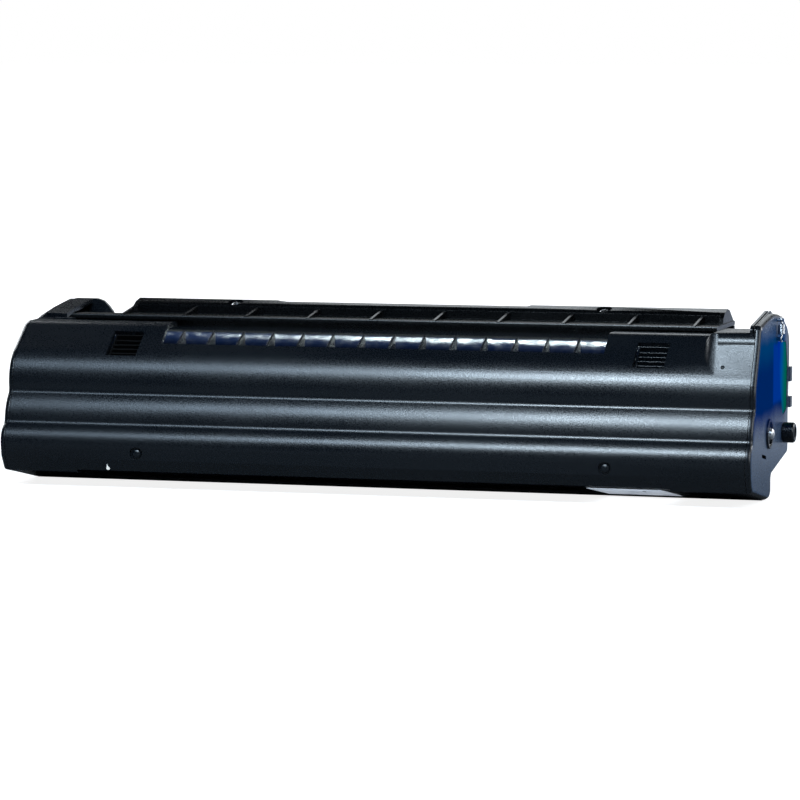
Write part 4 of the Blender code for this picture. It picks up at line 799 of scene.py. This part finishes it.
class CARTRIDGE_OT_hopper(CartridgeStep):
    """Builds the wave-fronted toner hopper"""

    bl_idname = "cartridge.hopper"
    bl_label = "Toner hopper"

    def execute(self, context):
        wall = self.sizes.shell_wall / MM
        path = [(HINGE[0] + 3.0, BELLY_TOP), (BELLY_BACK, BELLY_TOP), (BELLY_BACK, 0.0), HEEL]
        path += wave(self.sizes.curve_steps) + [TOP_BACK]
        shell = swept("hopper_shell", path, -SHELL_HALF, SHELL_HALF, wall)
        walls = [self.bulkhead(side, wall) for side in SIDES.values()]
        combine(shell, walls + [self.corner_block(wall)], "UNION")
        combine(shell, self.cutters(), "DIFFERENCE")
        soften(shell, self.sizes.edge_radius)
        dressed(shell, ["toner_hopper"], self.finishes["plastic"])
        self.fleck()
        return {"FINISHED"}

    @staticmethod
    def bulkhead(side, wall):
        """The wall inside the shell near one end."""
        section = [(BELLY_BACK - wall / 2, BELLY_TOP), (BELLY_BACK - wall / 2, wall / 2), (HEEL[0], wall / 2)]
        section += [(y + wall / 2, z + (wall / 2 if z < TOE[1] else 0)) for y, z in wave(6)[:-2]]
        section += [(TOP_BACK[0], TOP_BACK[1] - wall / 2), (TOP_BACK[0], BELLY_TOP)]
        faces = sorted((side * (BULKHEAD_FACE - BULKHEAD_WALL), side * BULKHEAD_FACE))
        return prism("bulkhead", section, *faces)

    @staticmethod
    def corner_block(wall):
        """The raised block at the right, with rounded left edges and a low fin at its outer edge."""
        outline = [BLOCK_FOOT] + block_edge(10)
        outline += [(TOP_BACK[0], BLOCK_TOP), (TOP_BACK[0], TOP_BACK[1] - wall / 2), (BROW[0], BROW[1] - wall)]
        outline += [(SHOULDER[0] + 1.0, SHOULDER[1] - wall)]
        body = prism("corner_block", outline, BLOCK_LEFT - 1.0, SHELL_HALF)
        combine(body, [block_side_cut(), block_top_cut()], "DIFFERENCE")
        fin = prism("block_fin", filleted(FIN_PROFILE, 1.2, 5), SHELL_HALF - FIN_WALL, SHELL_HALF)
        groove = swept("fin_groove", FIN_GROOVE, FIN_GROOVE_X, FIN_GROOVE_X + FIN_GROOVE_WIDTH, 1.7)
        combine(fin, [groove], "DIFFERENCE")
        return combine(body, [fin], "UNION")

    @staticmethod
    def cutters():
        """The slot, windows, recesses, notches and the dimple, as solids to cut away."""
        slope = math.atan2(WINDOW_HIGH[1] - WINDOW_LOW[1], WINDOW_HIGH[0] - WINDOW_LOW[0])
        run = math.dist(WINDOW_LOW, WINDOW_HIGH)
        made = [block("slot", (-SLOT_HALF, SLOT_LIP[0], SLOT_FLOOR), (SLOT_HALF, 1, 90))]
        for centre in WINDOW_X.values():
            low = (centre - WINDOW_WIDTH / 2, WINDOW_LOW[0], WINDOW_LOW[1] - 5)
            high = (centre + WINDOW_WIDTH / 2, WINDOW_LOW[0] + run, WINDOW_LOW[1] + 5)
            made.append(block("window", low, high, slope, (0, *WINDOW_LOW)))
        profile = [(5, 0), (5, PIN_RECESS), (-PIN_RECESS_DEPTH, PIN_RECESS), (-PIN_RECESS_DEPTH, 0)]
        for x in PIN_X.values():
            made.append(turned("pin_recess", profile, (x, front_y(PIN_Z), PIN_Z), (0, -1, 0), 40))
        for side in SIDES.values():
            low, high = sorted((side * ARM_NOTCH_LOW, side * (SHELL_HALF + 1)))
            made.append(block("arm_notch", (low, -14, 20), (high, HINGE[0] + 14, 40)))
            low, high = sorted((side * BULKHEAD_FACE, side * (SHELL_HALF + 1)))
            made.append(block("belly_corner", (low, BELLY_CORNER, -1), (high, BELLY_BACK + 1, 21)))
        fall = math.atan2(LIP[1] - HEEL[1], HEEL[0] - LIP[0])
        length = math.dist(LIP, HEEL)
        low = (-UNDER_RECESS_HALF, LIP[0] - 6, LIP[1] - 4)
        high = (UNDER_RECESS_HALF, LIP[0] + length - 3, LIP[1] + UNDER_RECESS_DEPTH)
        made.append(block("underside", low, high, -fall, (0, *LIP)))
        rise = (Vector(BLOCK_FACE_TOP) - Vector(BLOCK_FOOT)).normalized()
        centre = Vector(DIMPLE) + Vector((0, -rise.y, rise.x)) * DIMPLE_LIFT
        turns = [math.pi * i / 16 for i in range(1, 16)]
        profile = [(DIMPLE_RADIUS * math.cos(a), DIMPLE_RADIUS * math.sin(a)) for a in turns]
        profile = [(DIMPLE_RADIUS, 0)] + profile + [(-DIMPLE_RADIUS, 0)]
        made.append(turned("dimple", profile, centre, (1, 0, 0), 32))
        return made

    def fleck(self):
        """A small white chip on the belly near the left end."""
        slope = (TOE[0] - LIP[0]) / (TOE[1] - LIP[1])
        corners = [(x, LIP[0] + (z - LIP[1]) * slope, z) for x, z in FLECK]
        chip = soften(slanted("white_fleck", corners, (0, -0.22, -0.12)), 0.00006)
        chip.data.materials.append(self.finishes["fleck"])
        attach(chip, frame["nodes"]["toner_hopper"]["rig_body"])


def block_side_cut():
    """What rounds the block's edge between its face and its left side."""
    rise = (Vector(BLOCK_FACE_TOP) - Vector(BLOCK_FOOT)).normalized()
    inward = Vector((rise.y, -rise.x))
    beyond = BLOCK_LEFT - BLOCK_ROUND
    bends = [(math.sin(a), 1 - math.cos(a)) for a in quarter_turn(12)[::-1]]
    plan = [(BLOCK_FACE_X - BLOCK_ROUND * run, BLOCK_ROUND * depth) for run, depth in bends]
    plan += [(BLOCK_LEFT, 5 * BLOCK_ROUND), (beyond, 5 * BLOCK_ROUND), (beyond, -BLOCK_ROUND)]
    plan += [(BLOCK_FACE_X, -BLOCK_ROUND)]
    foot = Vector(BLOCK_FOOT) - rise * 3 * BLOCK_ROUND
    corners = [(x, foot.x + inward.x * depth, foot.y + inward.y * depth) for x, depth in plan]
    return slanted("block_left_edge", corners, (0, rise.x * BLOCK_CUT_LENGTH, rise.y * BLOCK_CUT_LENGTH))


def block_top_cut():
    """What rounds the block's edge between its top and its left side."""
    low, high = BLOCK_LEFT - BLOCK_ROUND, BLOCK_TOP + BLOCK_ROUND
    bends = [(1 - math.cos(a), 1 - math.sin(a)) for a in quarter_turn(12)[::-1]]
    face = [(BLOCK_LEFT + BLOCK_ROUND * run, BLOCK_TOP - BLOCK_ROUND * drop) for run, drop in bends]
    face += [(BLOCK_FACE_X, high), (low, high), (low, BLOCK_TOP - BLOCK_ROUND)]
    front = BLOCK_FOOT[0] - BLOCK_ROUND
    return slanted("block_left_corner", [(x, front, z) for x, z in face], (0, TOP_BACK[0] - front + 1, 0))


def block_edge(steps):
    """The block's rounded edge between its face and its top."""
    end = (BLOCK_FACE_TOP[0] + BLOCK_CORNER, BLOCK_TOP)
    return [BLOCK_FACE_TOP] + arc(BLOCK_FACE_TOP, end, BLOCK_CORNER_BULGE, steps)


def front_y(height):
    """The wave's y at a height, in millimetres."""
    path = wave(20)
    for (y0, z0), (y1, z1) in zip(path, path[1:]):
        if z0 <= height <= z1:
            return y0 + (y1 - y0) * (height - z0) / (z1 - z0)
    raise ValueError("height outside the wave")


class CARTRIDGE_OT_front_pins(CartridgeStep):
    """Builds the domed pins in the hopper's front"""

    bl_idname = "cartridge.front_pins"
    bl_label = "Front pins"

    def execute(self, context):
        y = front_y(PIN_Z) + PIN_RECESS_DEPTH - 0.3
        dome = [(PIN_RECESS_DEPTH * math.cos(a), PIN_RADIUS * math.sin(a)) for a in quarter_turn(10)]
        for side, x in PIN_X.items():
            pin = turned(f"domed_pin_{side}", dome[::-1] + [(0.0, 0)], (x, y, PIN_Z), (0, -1, 0), 40)
            soften(pin, 0.00012)
            dressed(pin, [f"front_pin_{side}"], self.finishes["plastic"])
        return {"FINISHED"}


def quarter_turn(steps):
    """Angles from a quarter turn down to nothing."""
    return [math.pi / 2 * i / steps for i in range(steps, -1, -1)]


class CARTRIDGE_OT_slot_and_windows(CartridgeStep):
    """Refines the slot's ribbed frame and the two louvres"""

    bl_idname = "cartridge.slot_and_windows"
    bl_label = "Slot and windows"

    def execute(self, context):
        ribs = soften(copied("slot_frame", "slot_ribs"), 0.0002)
        dressed(ribs, ["slot_frame"], self.finishes["plastic"])
        for side in WINDOW_X:
            slats = soften(copied(f"louvre_{side}", f"louvre_slats_{side}"), 0.00018)
            # The left louvre's slats get the painted-shade finish
            finish = "dark" if side == "left" else "plastic"
            dressed(slats, [f"louvre_{side}"], self.finishes[finish])
        return {"FINISHED"}


class CARTRIDGE_OT_label(CartridgeStep):
    """Refines the bare sheet under the hopper"""

    bl_idname = "cartridge.label"
    bl_label = "Underside sheet"

    def execute(self, context):
        sheet = soften(copied("underside_label", "label_sheet"), 0.0001)
        dressed(sheet, ["underside_label"], self.finishes["film"])
        return {"FINISHED"}


class CARTRIDGE_OT_rear_cover(CartridgeStep):
    """Refines the rear cover and builds its cross-head screws"""

    bl_idname = "cartridge.rear_cover"
    bl_label = "Rear cover"

    def execute(self, context):
        cover = copied("rear_cover", "ridge_cover")
        combine(cover, [prism("front_bevel", COVER_BEVEL, -SHELL_HALF, SHELL_HALF)], "DIFFERENCE")
        soften(cover, 0.0003)
        dressed(cover, ["rear_cover"], self.finishes["lid"])
        for side, x in COVER_SCREW_X.items():
            axis = (0, -math.sin(COVER_SCREW_TILT), math.cos(COVER_SCREW_TILT))
            screw = cross_head_screw(f"cover_fixing_{side}", (x, COVER_SCREW_Y, COVER_SCREW_Z), axis, 2.9)
            dressed(screw, [f"cover_screw_{side}"], self.finishes["steel"])
        return {"FINISHED"}


def cross_head_screw(name, place, axis, radius):
    """A domed screw head with a cross recess, on a short shank."""
    dome = ((1.9, 0), (1.85, 0.3), (1.65, 0.6), (1.2, 0.85), (0.7, 1.0), (0.3, 1.0))
    head = [(along, share * radius) for along, share in dome]
    body = turned(name, head + [(0.3, 1.4), (-5.0, 1.4), (-5.0, 0)], place, axis, 36)
    turn = Vector((0, 0, 1)).rotation_difference(Vector(axis)).to_matrix().to_4x4()
    slots = []
    for quarter in (0, 1):
        blade = block("cross", (-0.55 * radius, -0.11 * radius, 0.9), (0.55 * radius, 0.11 * radius, 3.0))
        spin = Matrix.Rotation(math.radians(35 + 90 * quarter), 4, "Z")
        blade.data.transform(Matrix.Translation(Vector(place) * MM) @ turn @ spin)
        slots.append(blade)
    combine(body, slots, "DIFFERENCE")
    return soften(body, 0.00008)


class CARTRIDGE_OT_drum_and_rollers(CartridgeStep):
    """Builds the drum, the developer sleeve and the charge roller"""

    bl_idname = "cartridge.drum_and_rollers"
    bl_label = "Drum and rollers"

    def execute(self, context):
        self.tube("coated_drum", "opc_drum", "drum_coating", "drum")
        self.tube("metering_sleeve", "developer_sleeve", "sleeve_metal", "sleeve")
        roller = soften(self.charge_roller(), 0.0003)
        dressed(roller, ["charge_roller"], self.finishes["rubber"])
        return {"FINISHED"}

    @staticmethod
    def round_size(node):
        """The middle, half length and radius of a round CAD node along X, in millimetres."""
        low, high = (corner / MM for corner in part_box(node))
        return (low + high) / 2, (high.x - low.x) / 2, (high.z - low.z) / 2

    def tube(self, name, node, slot, finish):
        middle, half, radius = self.round_size(node)
        inner = radius - TUBE_WALL
        profile = [(half, radius - TUBE_CHAMFER), (half - TUBE_CHAMFER, radius), (-half + TUBE_CHAMFER, radius)]
        profile += [(-half, radius - TUBE_CHAMFER), (-half, inner), (half, inner)]
        made = turned(name, profile, middle, (1, 0, 0), 2 * self.sizes.round_steps)
        made.data.shade_smooth()
        made.data.set_sharp_from_angle(angle=math.radians(35))
        dressed(made, [node], self.finishes[finish])

    def charge_roller(self):
        middle, half, radius = self.round_size("charge_roller")
        rubber, shaft = CHARGE_RUBBER_HALF, CHARGE_SHAFT_RADIUS
        profile = [(half, 0), (half, shaft), (rubber, shaft), (rubber, radius)]
        profile += [(-rubber, radius), (-rubber, shaft), (-half, shaft), (-half, 0)]
        return turned("soft_charge_roller", profile, middle, (1, 0, 0), self.sizes.round_steps)


class CARTRIDGE_OT_end_housings(CartridgeStep):
    """Builds the two end housings with their rims, collars, lugs and pegs"""

    bl_idname = "cartridge.end_housings"
    bl_label = "End housings"

    def execute(self, context):
        for word, side in SIDES.items():
            housing = self.housing(side, word)
            finish = "end" if side > 0 else "plastic"
            dressed(housing, [f"end_plate_{word}"], self.finishes[finish])
        self.side_panel()
        return {"FINISHED"}

    def outline(self, side):
        """The end housing's outline: the wave, the hump, and the rear and lower edges."""
        steps = self.sizes.curve_steps
        if side > 0:
            path = [p for p in wave(steps) if p[1] < BLOCK_FOOT[1] and p[0] < SHOULDER[0]]
            path += [BLOCK_FOOT, BLOCK_FACE_TOP]
            hump = RIGHT_HUMP
        else:
            path = wave(steps) + [LEFT_HUMP_FRONT]
            hump = LEFT_HUMP
        rest = filleted([path[-1]] + hump + REAR_EDGE + UNDER_EDGE + [path[0]], 3.0, 6, closed=False)
        return path + rest[1:-1]

    @staticmethod
    def rear_wall():
        """The left housing's rear wall, which reaches in behind the hump and ends in a slope."""
        reach = -LEFT_WALL_REACH
        slope = [(reach, LEFT_WALL_LOW + 2.9), (reach - 2.4, LEFT_WALL_HIGH - 3.5)]
        slope += [(reach - 4.9, LEFT_WALL_HIGH - 1.1), (reach - 8.3, LEFT_WALL_HIGH)]
        outer = -PLATE_LOW - 1.0
        face = [(outer, LEFT_WALL_LOW), (reach, LEFT_WALL_LOW)] + slope + [(outer, LEFT_WALL_HIGH)]
        rounded = filleted(face, 3.0, 6)
        corners = [(x, LEFT_WALL_FRONT, z) for x, z in rounded]
        return slanted("rear_wall", corners, (0, LEFT_WALL_BACK - LEFT_WALL_FRONT, 0))

    def housing(self, side, word):
        faces = sorted((side * PLATE_LOW, side * PLATE_HIGH))
        body = prism(f"end_housing_{word}", self.outline(side), *faces)
        round_face(body, side * PLATE_HIGH * MM, self.sizes.plate_edge_radius, 6)
        path = REAR_EDGE if side > 0 else [LEFT_RIM_FRONT] + LEFT_HUMP[1:] + REAR_EDGE
        rim_faces = sorted((side * (PLATE_LOW - RIM_DEPTH[side]), side * (PLATE_LOW + 1)))
        walls = [swept("rim", filleted(path, 3.0, 6, closed=False), *rim_faces, 2.2)]
        if side < 0:
            walls.append(self.rear_wall())
        combine(body, walls, "UNION")
        combine(body, self.holes(side), "DIFFERENCE")
        soften(body, 0.00035, 2, 40)
        details = [soften(detail, 0.0002) for detail in self.details(side)]
        return shaded(combine(body, details, "UNION"))

    @staticmethod
    def holes(side):
        """The holes of the pin and boss, and on the right the slit and the panel's recess."""
        low = PLATE_LOW - 2
        made = []
        for (y, z), radius in ((HINGE, 2.5), (BOSS, 3.9)):
            profile = [(PLATE_HIGH + 2, 0), (PLATE_HIGH + 2, radius), (low, radius), (low, 0)]
            made.append(turned("hole", profile, (0, y, z), (side, 0, 0), 40))
        if side > 0:
            made.append(prism("slit", filleted(SLIT, 0.5, 4), low, PLATE_HIGH + 2))
            panel = filleted(SIDE_PANEL, 2.0, 5)
            made.append(prism("panel_recess", panel, PLATE_HIGH - SIDE_PANEL_DEPTH, PLATE_HIGH + 2))
        return made

    @staticmethod
    def details(side):
        """The collar round the hinge pin, the lugs and the spring's pegs."""
        made = []
        inner = HINGE_RING - 1.3
        low, high = PLATE_HIGH - 0.5, PLATE_HIGH + 0.9
        profile = [(high, HINGE_RING), (low, HINGE_RING), (low, inner), (high, inner)]
        made.append(turned("collar", profile, (0, *HINGE), (side, 0, 0), 48))
        for z_low, z_high in LUGS:
            faces = sorted((side * (PLATE_HIGH - 0.5), side * (PLATE_HIGH + 1.6)))
            made.append(block("lug", (faces[0], 41.5, z_low), (faces[1], 46.2, z_high)))
        for z in (SPRING_TOP[side], SPRING_TOP[side] - SPRING_SPAN):
            tip = PLATE_HIGH + 3.4
            profile = [(tip, 0), (tip, 0.6), (tip - 0.3, 0.9), (PLATE_HIGH - 0.5, 0.9), (PLATE_HIGH - 0.5, 0)]
            made.append(turned("peg", profile, (0, SPRING_Y, z), (side, 0, 0), 24))
        return made

    def side_panel(self):
        """A thin coloured insert in the right housing's recess."""
        centre, fit = Vector(SIDE_PANEL_CENTRE), Vector(SIDE_PANEL_FIT)
        inset = [tuple(centre + (Vector(point) - centre) * fit) for point in filleted(SIDE_PANEL, 2.2, 5)]
        insert = prism("side_insert", inset, PLATE_HIGH - SIDE_PANEL_DEPTH + 0.02, PLATE_HIGH - 0.25)
        soften(insert, 0.0001)
        insert.data.materials.append(self.finishes["foil"])
        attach(insert, frame["nodes"]["end_plate_right"]["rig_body"])


class CARTRIDGE_OT_side_fittings(CartridgeStep):
    """Builds the guide bosses, the hinge pins and the tension springs"""

    bl_idname = "cartridge.side_fittings"
    bl_label = "Side fittings"

    def execute(self, context):
        for word, side in SIDES.items():
            boss = turned(f"bored_boss_{word}", self.boss_profile(), (0, *BOSS), (side, 0, 0), 48)
            soften(boss, 0.00025)
            dressed(boss, [f"guide_boss_{word}"], self.finishes["plastic"])
            pin = turned(f"domed_hinge_pin_{word}", self.pin_profile(), (0, *HINGE), (side, 0, 0), 40)
            soften(pin, 0.0001, 1, 50)
            dressed(pin, [f"hinge_pin_{word}"], self.finishes["pin"])
            spring = self.spring(side, word)
            dressed(spring, [f"tension_spring_{word}"], self.finishes["wire"])
        return {"FINISHED"}

    @staticmethod
    def boss_profile():
        tip = PLATE_HIGH + BOSS_REACH
        bends = [(1 - math.cos(a), 1 - math.sin(a)) for a in quarter_turn(6)[::-1]]
        crown = [(tip - 1.3 * back, BOSS_RADIUS - 1.3 * narrower) for back, narrower in bends]
        profile = [(tip, BOSS_BORE + 0.3)] + crown + [(PLATE_HIGH + 0.3, BOSS_RADIUS), (PLATE_HIGH + 0.3, 3.6)]
        return profile + [(PLATE_LOW, 3.6), (PLATE_LOW, BOSS_BORE), (tip - 0.3, BOSS_BORE)]

    @staticmethod
    def pin_profile():
        head = PLATE_HIGH + 0.3
        dome = [(head + 0.9 + 1.5 * math.cos(a), 2.6 * math.sin(a)) for a in quarter_turn(8)[::-1]]
        return dome + [(head, 2.8), (head, 2.2), (PLATE_LOW - 6.4, 2.2), (PLATE_LOW - 6.4, 0)]

    def spring(self, side, word):
        """A close coil between two hooks that go round the pegs."""
        x = side * (PLATE_HIGH + SPRING_GAP)
        top = SPRING_TOP[side]
        foot = top - SPRING_SPAN
        low, rise = foot + SPRING_HOOK, SPRING_SPAN - 2 * SPRING_HOOK
        count = self.sizes.spring_turns * COIL_STEPS
        points = hook(x, foot, -1)
        for i in range(count + 1):
            angle = 2 * math.pi * i / COIL_STEPS + math.pi / 2
            run, back = side * SPRING_COIL * math.cos(angle), SPRING_COIL * math.sin(angle)
            points.append((x + run, SPRING_Y + back, low + rise * i / count))
        points += hook(x, top, 1)[::-1]
        return wire_piece(f"hooked_spring_{word}", [Vector(point) * MM for point in points], SPRING_WIRE * MM)


def hook(x, z, way):
    """A wire eye round a peg, which starts far from the coil and ends towards it."""
    angles = [math.radians(250 - 25 * i) for i in range(11)]
    eye = [(SPRING_COIL * math.cos(a), way * SPRING_COIL * math.sin(a)) for a in angles]
    return [(x, SPRING_Y + along, z + up) for along, up in eye]


def wire_piece(name, points, radius):
    """A round wire along points, as a mesh."""
    curve = bpy.data.curves.new(name, "CURVE")
    curve.dimensions = "3D"
    curve.bevel_depth = radius
    curve.bevel_resolution = 3
    curve.use_fill_caps = True
    spline = curve.splines.new("POLY")
    spline.points.add(len(points) - 1)
    for point, place in zip(spline.points, points):
        point.co = (*place, 1)
    guide = bpy.data.objects.new(name + "_line", curve)
    bpy.context.scene.collection.objects.link(guide)
    bpy.context.view_layer.update()
    graph = bpy.context.evaluated_depsgraph_get()
    mesh = bpy.data.meshes.new_from_object(guide.evaluated_get(graph))
    bpy.data.objects.remove(guide, do_unlink=True)
    obj = bpy.data.objects.new(name, mesh)
    bpy.context.scene.collection.objects.link(obj)
    mesh.shade_smooth()
    return obj


class CARTRIDGE_OT_inner_parts(CartridgeStep):
    """Refines the frames, gears, blades and small parts inside"""

    bl_idname = "cartridge.inner_parts"
    bl_label = "Inner parts"

    def execute(self, context):
        for node, (name, slot, finish, radius) in self.pieces().items():
            piece = soften(copied(node, name), radius)
            dressed(piece, [node], self.finishes[finish])
        return {"FINISHED"}

    @staticmethod
    def pieces():
        found = {
            "drum_frame": ("waste_frame", "black_plastic", "plastic", 0.0004),
            "drum_shutter": ("shutter_flap", "black_plastic", "plastic", 0.0003),
            "drum_gear": ("ring_gear", "gear_plastic", "acetal", 0.00012),
            "drum_hub": ("plain_hub", "gear_plastic", "acetal", 0.0002),
            "developer_gear": ("roller_gear", "gear_plastic", "acetal", 0.00012),
            "developer_journal": ("roller_journal", "gear_plastic", "acetal", 0.0002),
            "developer_magnet": ("magnet_core", "inner_plastic", "inner", 0.0002),
            "idler_gear": ("relay_gear", "gear_plastic", "acetal", 0.00012),
            "idler_stud": ("relay_stud", "bright_steel", "steel", 0.0002),
            "agitator_gear": ("paddle_gear", "gear_plastic", "acetal", 0.00012),
            "toner_agitator": ("stirring_paddle", "inner_plastic", "inner", 0.0002),
            "fill_plug": ("filler_plug", "inner_plastic", "inner", 0.0003),
            "doctor_bracket": ("metering_strip", "bright_steel", "steel", 0.0001),
            "doctor_blade": ("metering_lip", "blade_urethane", "urethane", 0.0001),
            "wiper_bracket": ("wiping_bracket", "bright_steel", "steel", 0.0002),
            "wiper_blade": ("wiping_lip", "blade_urethane", "urethane", 0.0001),
            "shutter_spring": ("return_spring", "spring_steel", "wire", 0.00005),
        }
        for side in SIDES:
            found[f"developer_bearing_{side}"] = (f"roller_bearing_{side}", "gear_plastic", "acetal", 0.0001)
            found[f"charge_bearing_{side}"] = (f"sliding_bearing_{side}", "gear_plastic", "acetal", 0.0002)
            found[f"charge_spring_{side}"] = (f"pressure_spring_{side}", "spring_steel", "wire", 0.00005)
            found[f"drum_axle_{side}"] = (f"axle_stub_{side}", "bright_steel", "steel", 0.0002)
            found[f"doctor_screw_{side}"] = (f"metering_screw_{side}", "bright_steel", "steel", 0.0001)
        return found


class CARTRIDGE_OT_studio(CartridgeStep):
    """Sets the floor, the soft lights and the camera"""

    bl_idname = "cartridge.studio"
    bl_label = "Studio"

    def execute(self, context):
        settings = context.scene.cartridge_studio
        self.floor(settings)
        self.world(context.scene, settings.horizon_glow)
        soft_light("key", (-0.10, -1.10, 1.13), (1.3, 0.44), settings.key_power, (0.60, 0.79, 1.0))
        soft_light("near_key", (0.0, -0.46, 0.46), (0.22, 0.17), settings.near_power, (0.76, 0.90, 1.0))
        soft_light("side_light", (1.25, -0.30, 0.55), (0.7, 0.7), settings.side_power, (0.85, 0.92, 1.0))
        soft_light("rear_light", (-0.10, 1.50, 0.68), (0.9, 0.55), settings.rear_power, (0.88, 0.95, 1.0))
        for word, side in SIDES.items():
            place = (1.3 * side, 1.15, 0.85)
            soft_light(f"back_light_{word}", place, (0.8, 0.8), settings.back_power, (0.90, 0.95, 1.0))
        place = (0.10, 0.72, 0.90)
        slot = soft_light("slot_light", place, (1.0, 0.45), settings.slot_power, (0.82, 0.96, 0.96))
        drum_only = bpy.data.collections.new("drum_only")
        drum_only.objects.link(bpy.data.objects["coated_drum"])
        slot.light_linking.receiver_collection = drum_only
        slot.light_linking.blocker_collection = drum_only
        self.camera(context.scene)
        context.scene.view_settings.view_transform = "Standard"
        return {"FINISHED"}

    @staticmethod
    def floor(settings):
        """A pale floor, which glossy surfaces mirror as a dim one."""
        made = bmesh.new()
        bmesh.ops.create_grid(made, x_segments=1, y_segments=1, size=30)
        floor = link("floor", made)
        paint = Paint("pale_floor", roughness=0.9, emission_strength=1.0)
        seen = paint.add("ShaderNodeLightPath", output="Is Camera Ray")
        pale_side = seen + paint.add("ShaderNodeLightPath", output="Is Diffuse Ray")
        x, y, _ = paint.axes()
        far = paint.ramp((x * x + y * y).root(), 0.25, 0.9)
        glow = paint.mix(far, (settings.floor_tone,) * 3, (1.0, 1.0, 1.0))
        behind = paint.mix(paint.ramp(y, 0.05, 0.4), (0.0, 0.0, 0.0), (0.34, 0.40, 0.52))
        base = paint.mix(pale_side, (0.08, 0.09, 0.10), (0.4, 0.4, 0.4))
        paint.drive(base_color=base, emission_color=paint.mix(pale_side, behind, glow))
        floor.data.materials.append(paint.material)

    @staticmethod
    def world(scene, glow):
        """White behind everything; in reflections dark, apart from a pale band low at the back."""
        world = bpy.data.worlds.new("studio")
        world.use_nodes = True
        tree = Tree(world.node_tree)
        x, y, z = tree.axes("Generated")
        behind = tree.ramp(y, 0.25, 0.75, 0.0, glow, "LINEAR")
        low = tree.ramp(z, 0.10, 0.22, 1.0, 0.0, "LINEAR") * tree.ramp(x, -0.34, -0.22, 0.2, 1.0, "LINEAR")
        seen = tree.add("ShaderNodeLightPath", output="Is Camera Ray")
        strength = tree.add("ShaderNodeMix", {}, {0: seen, 2: behind * low + 0.008, 3: 1.0})
        back = tree.nodes["Background"]
        tree.feed(back.inputs["Color"], (1.0, 1.0, 1.0))
        tree.feed(back.inputs["Strength"], strength)
        scene.world = world

    @staticmethod
    def camera(scene):
        data = bpy.data.cameras.new("photo_camera")
        data.sensor_width = SENSOR_WIDTH
        data.lens = SENSOR_WIDTH * VIEW_FOCAL_PIXELS / PHOTO_SIZE
        data.clip_start = 0.1
        data.clip_end = 200.0
        camera = bpy.data.objects.new("photo_camera", data)
        scene.collection.objects.link(camera)
        back = Vector((
            math.sin(VIEW_AZIMUTH) * math.cos(VIEW_HEIGHT),
            -math.cos(VIEW_AZIMUTH) * math.cos(VIEW_HEIGHT),
            math.sin(VIEW_HEIGHT),
        ))
        right = Vector((math.cos(VIEW_AZIMUTH), math.sin(VIEW_AZIMUTH), 0.0))
        up = back.cross(right)
        place = Vector(VIEW_CENTRE) + back * VIEW_DISTANCE + right * VIEW_SHIFT[0] + up * VIEW_SHIFT[1]
        camera.matrix_world = Matrix.Translation(place) @ Matrix((right, up, back)).transposed().to_4x4()
        scene.camera = camera


def soft_light(name, place, size, power, colour):
    """A rectangular soft light that faces the cartridge."""
    data = bpy.data.lights.new(name, "AREA")
    data.shape = "RECTANGLE"
    data.size, data.size_y = size
    data.energy = power
    data.color = colour
    light = bpy.data.objects.new(name, data)
    light.visible_camera = False
    light.location = place
    aim = Vector((0, 0, 0.05)) - Vector(place)
    light.rotation_mode = "QUATERNION"
    light.rotation_quaternion = aim.to_track_quat("-Z", "Y")
    bpy.context.scene.collection.objects.link(light)
    return light


STEPS = (
    CARTRIDGE_OT_hopper,
    CARTRIDGE_OT_front_pins,
    CARTRIDGE_OT_slot_and_windows,
    CARTRIDGE_OT_label,
    CARTRIDGE_OT_rear_cover,
    CARTRIDGE_OT_drum_and_rollers,
    CARTRIDGE_OT_end_housings,
    CARTRIDGE_OT_side_fittings,
    CARTRIDGE_OT_inner_parts,
    CARTRIDGE_OT_studio,
)


class CARTRIDGE_PT_panel(bpy.types.Panel):
    """Lists the building steps in the sidebar"""

    bl_label = "Toner Cartridge"
    bl_space_type = "VIEW_3D"
    bl_region_type = "UI"
    bl_category = "Cartridge"

    def draw(self, context):
        scene = context.scene
        for group in (scene.cartridge_sizes, scene.cartridge_finish, scene.cartridge_studio):
            column = self.layout.column()
            for name in group.__annotations__:
                column.prop(group, name)
        for step in STEPS:
            self.layout.operator(step.bl_idname)


CLASSES = (CartridgeSizes, CartridgeFinish, StudioSettings, *STEPS, CARTRIDGE_PT_panel)


def register():
    for item in CLASSES:
        bpy.utils.register_class(item)
    bpy.types.Scene.cartridge_sizes = PointerProperty(type=CartridgeSizes)
    bpy.types.Scene.cartridge_finish = PointerProperty(type=CartridgeFinish)
    bpy.types.Scene.cartridge_studio = PointerProperty(type=StudioSettings)


def unregister():
    del bpy.types.Scene.cartridge_studio
    del bpy.types.Scene.cartridge_finish
    del bpy.types.Scene.cartridge_sizes
    for item in reversed(CLASSES):
        bpy.utils.unregister_class(item)


def main():
    register()
    bpy.ops.cartridge.hopper()
    bpy.ops.cartridge.front_pins()
    bpy.ops.cartridge.slot_and_windows()
    bpy.ops.cartridge.label()
    bpy.ops.cartridge.rear_cover()
    bpy.ops.cartridge.drum_and_rollers()
    bpy.ops.cartridge.end_housings()
    bpy.ops.cartridge.side_fittings()
    bpy.ops.cartridge.inner_parts()
    bpy.ops.cartridge.studio()


if __name__ == "__main__":
    main()
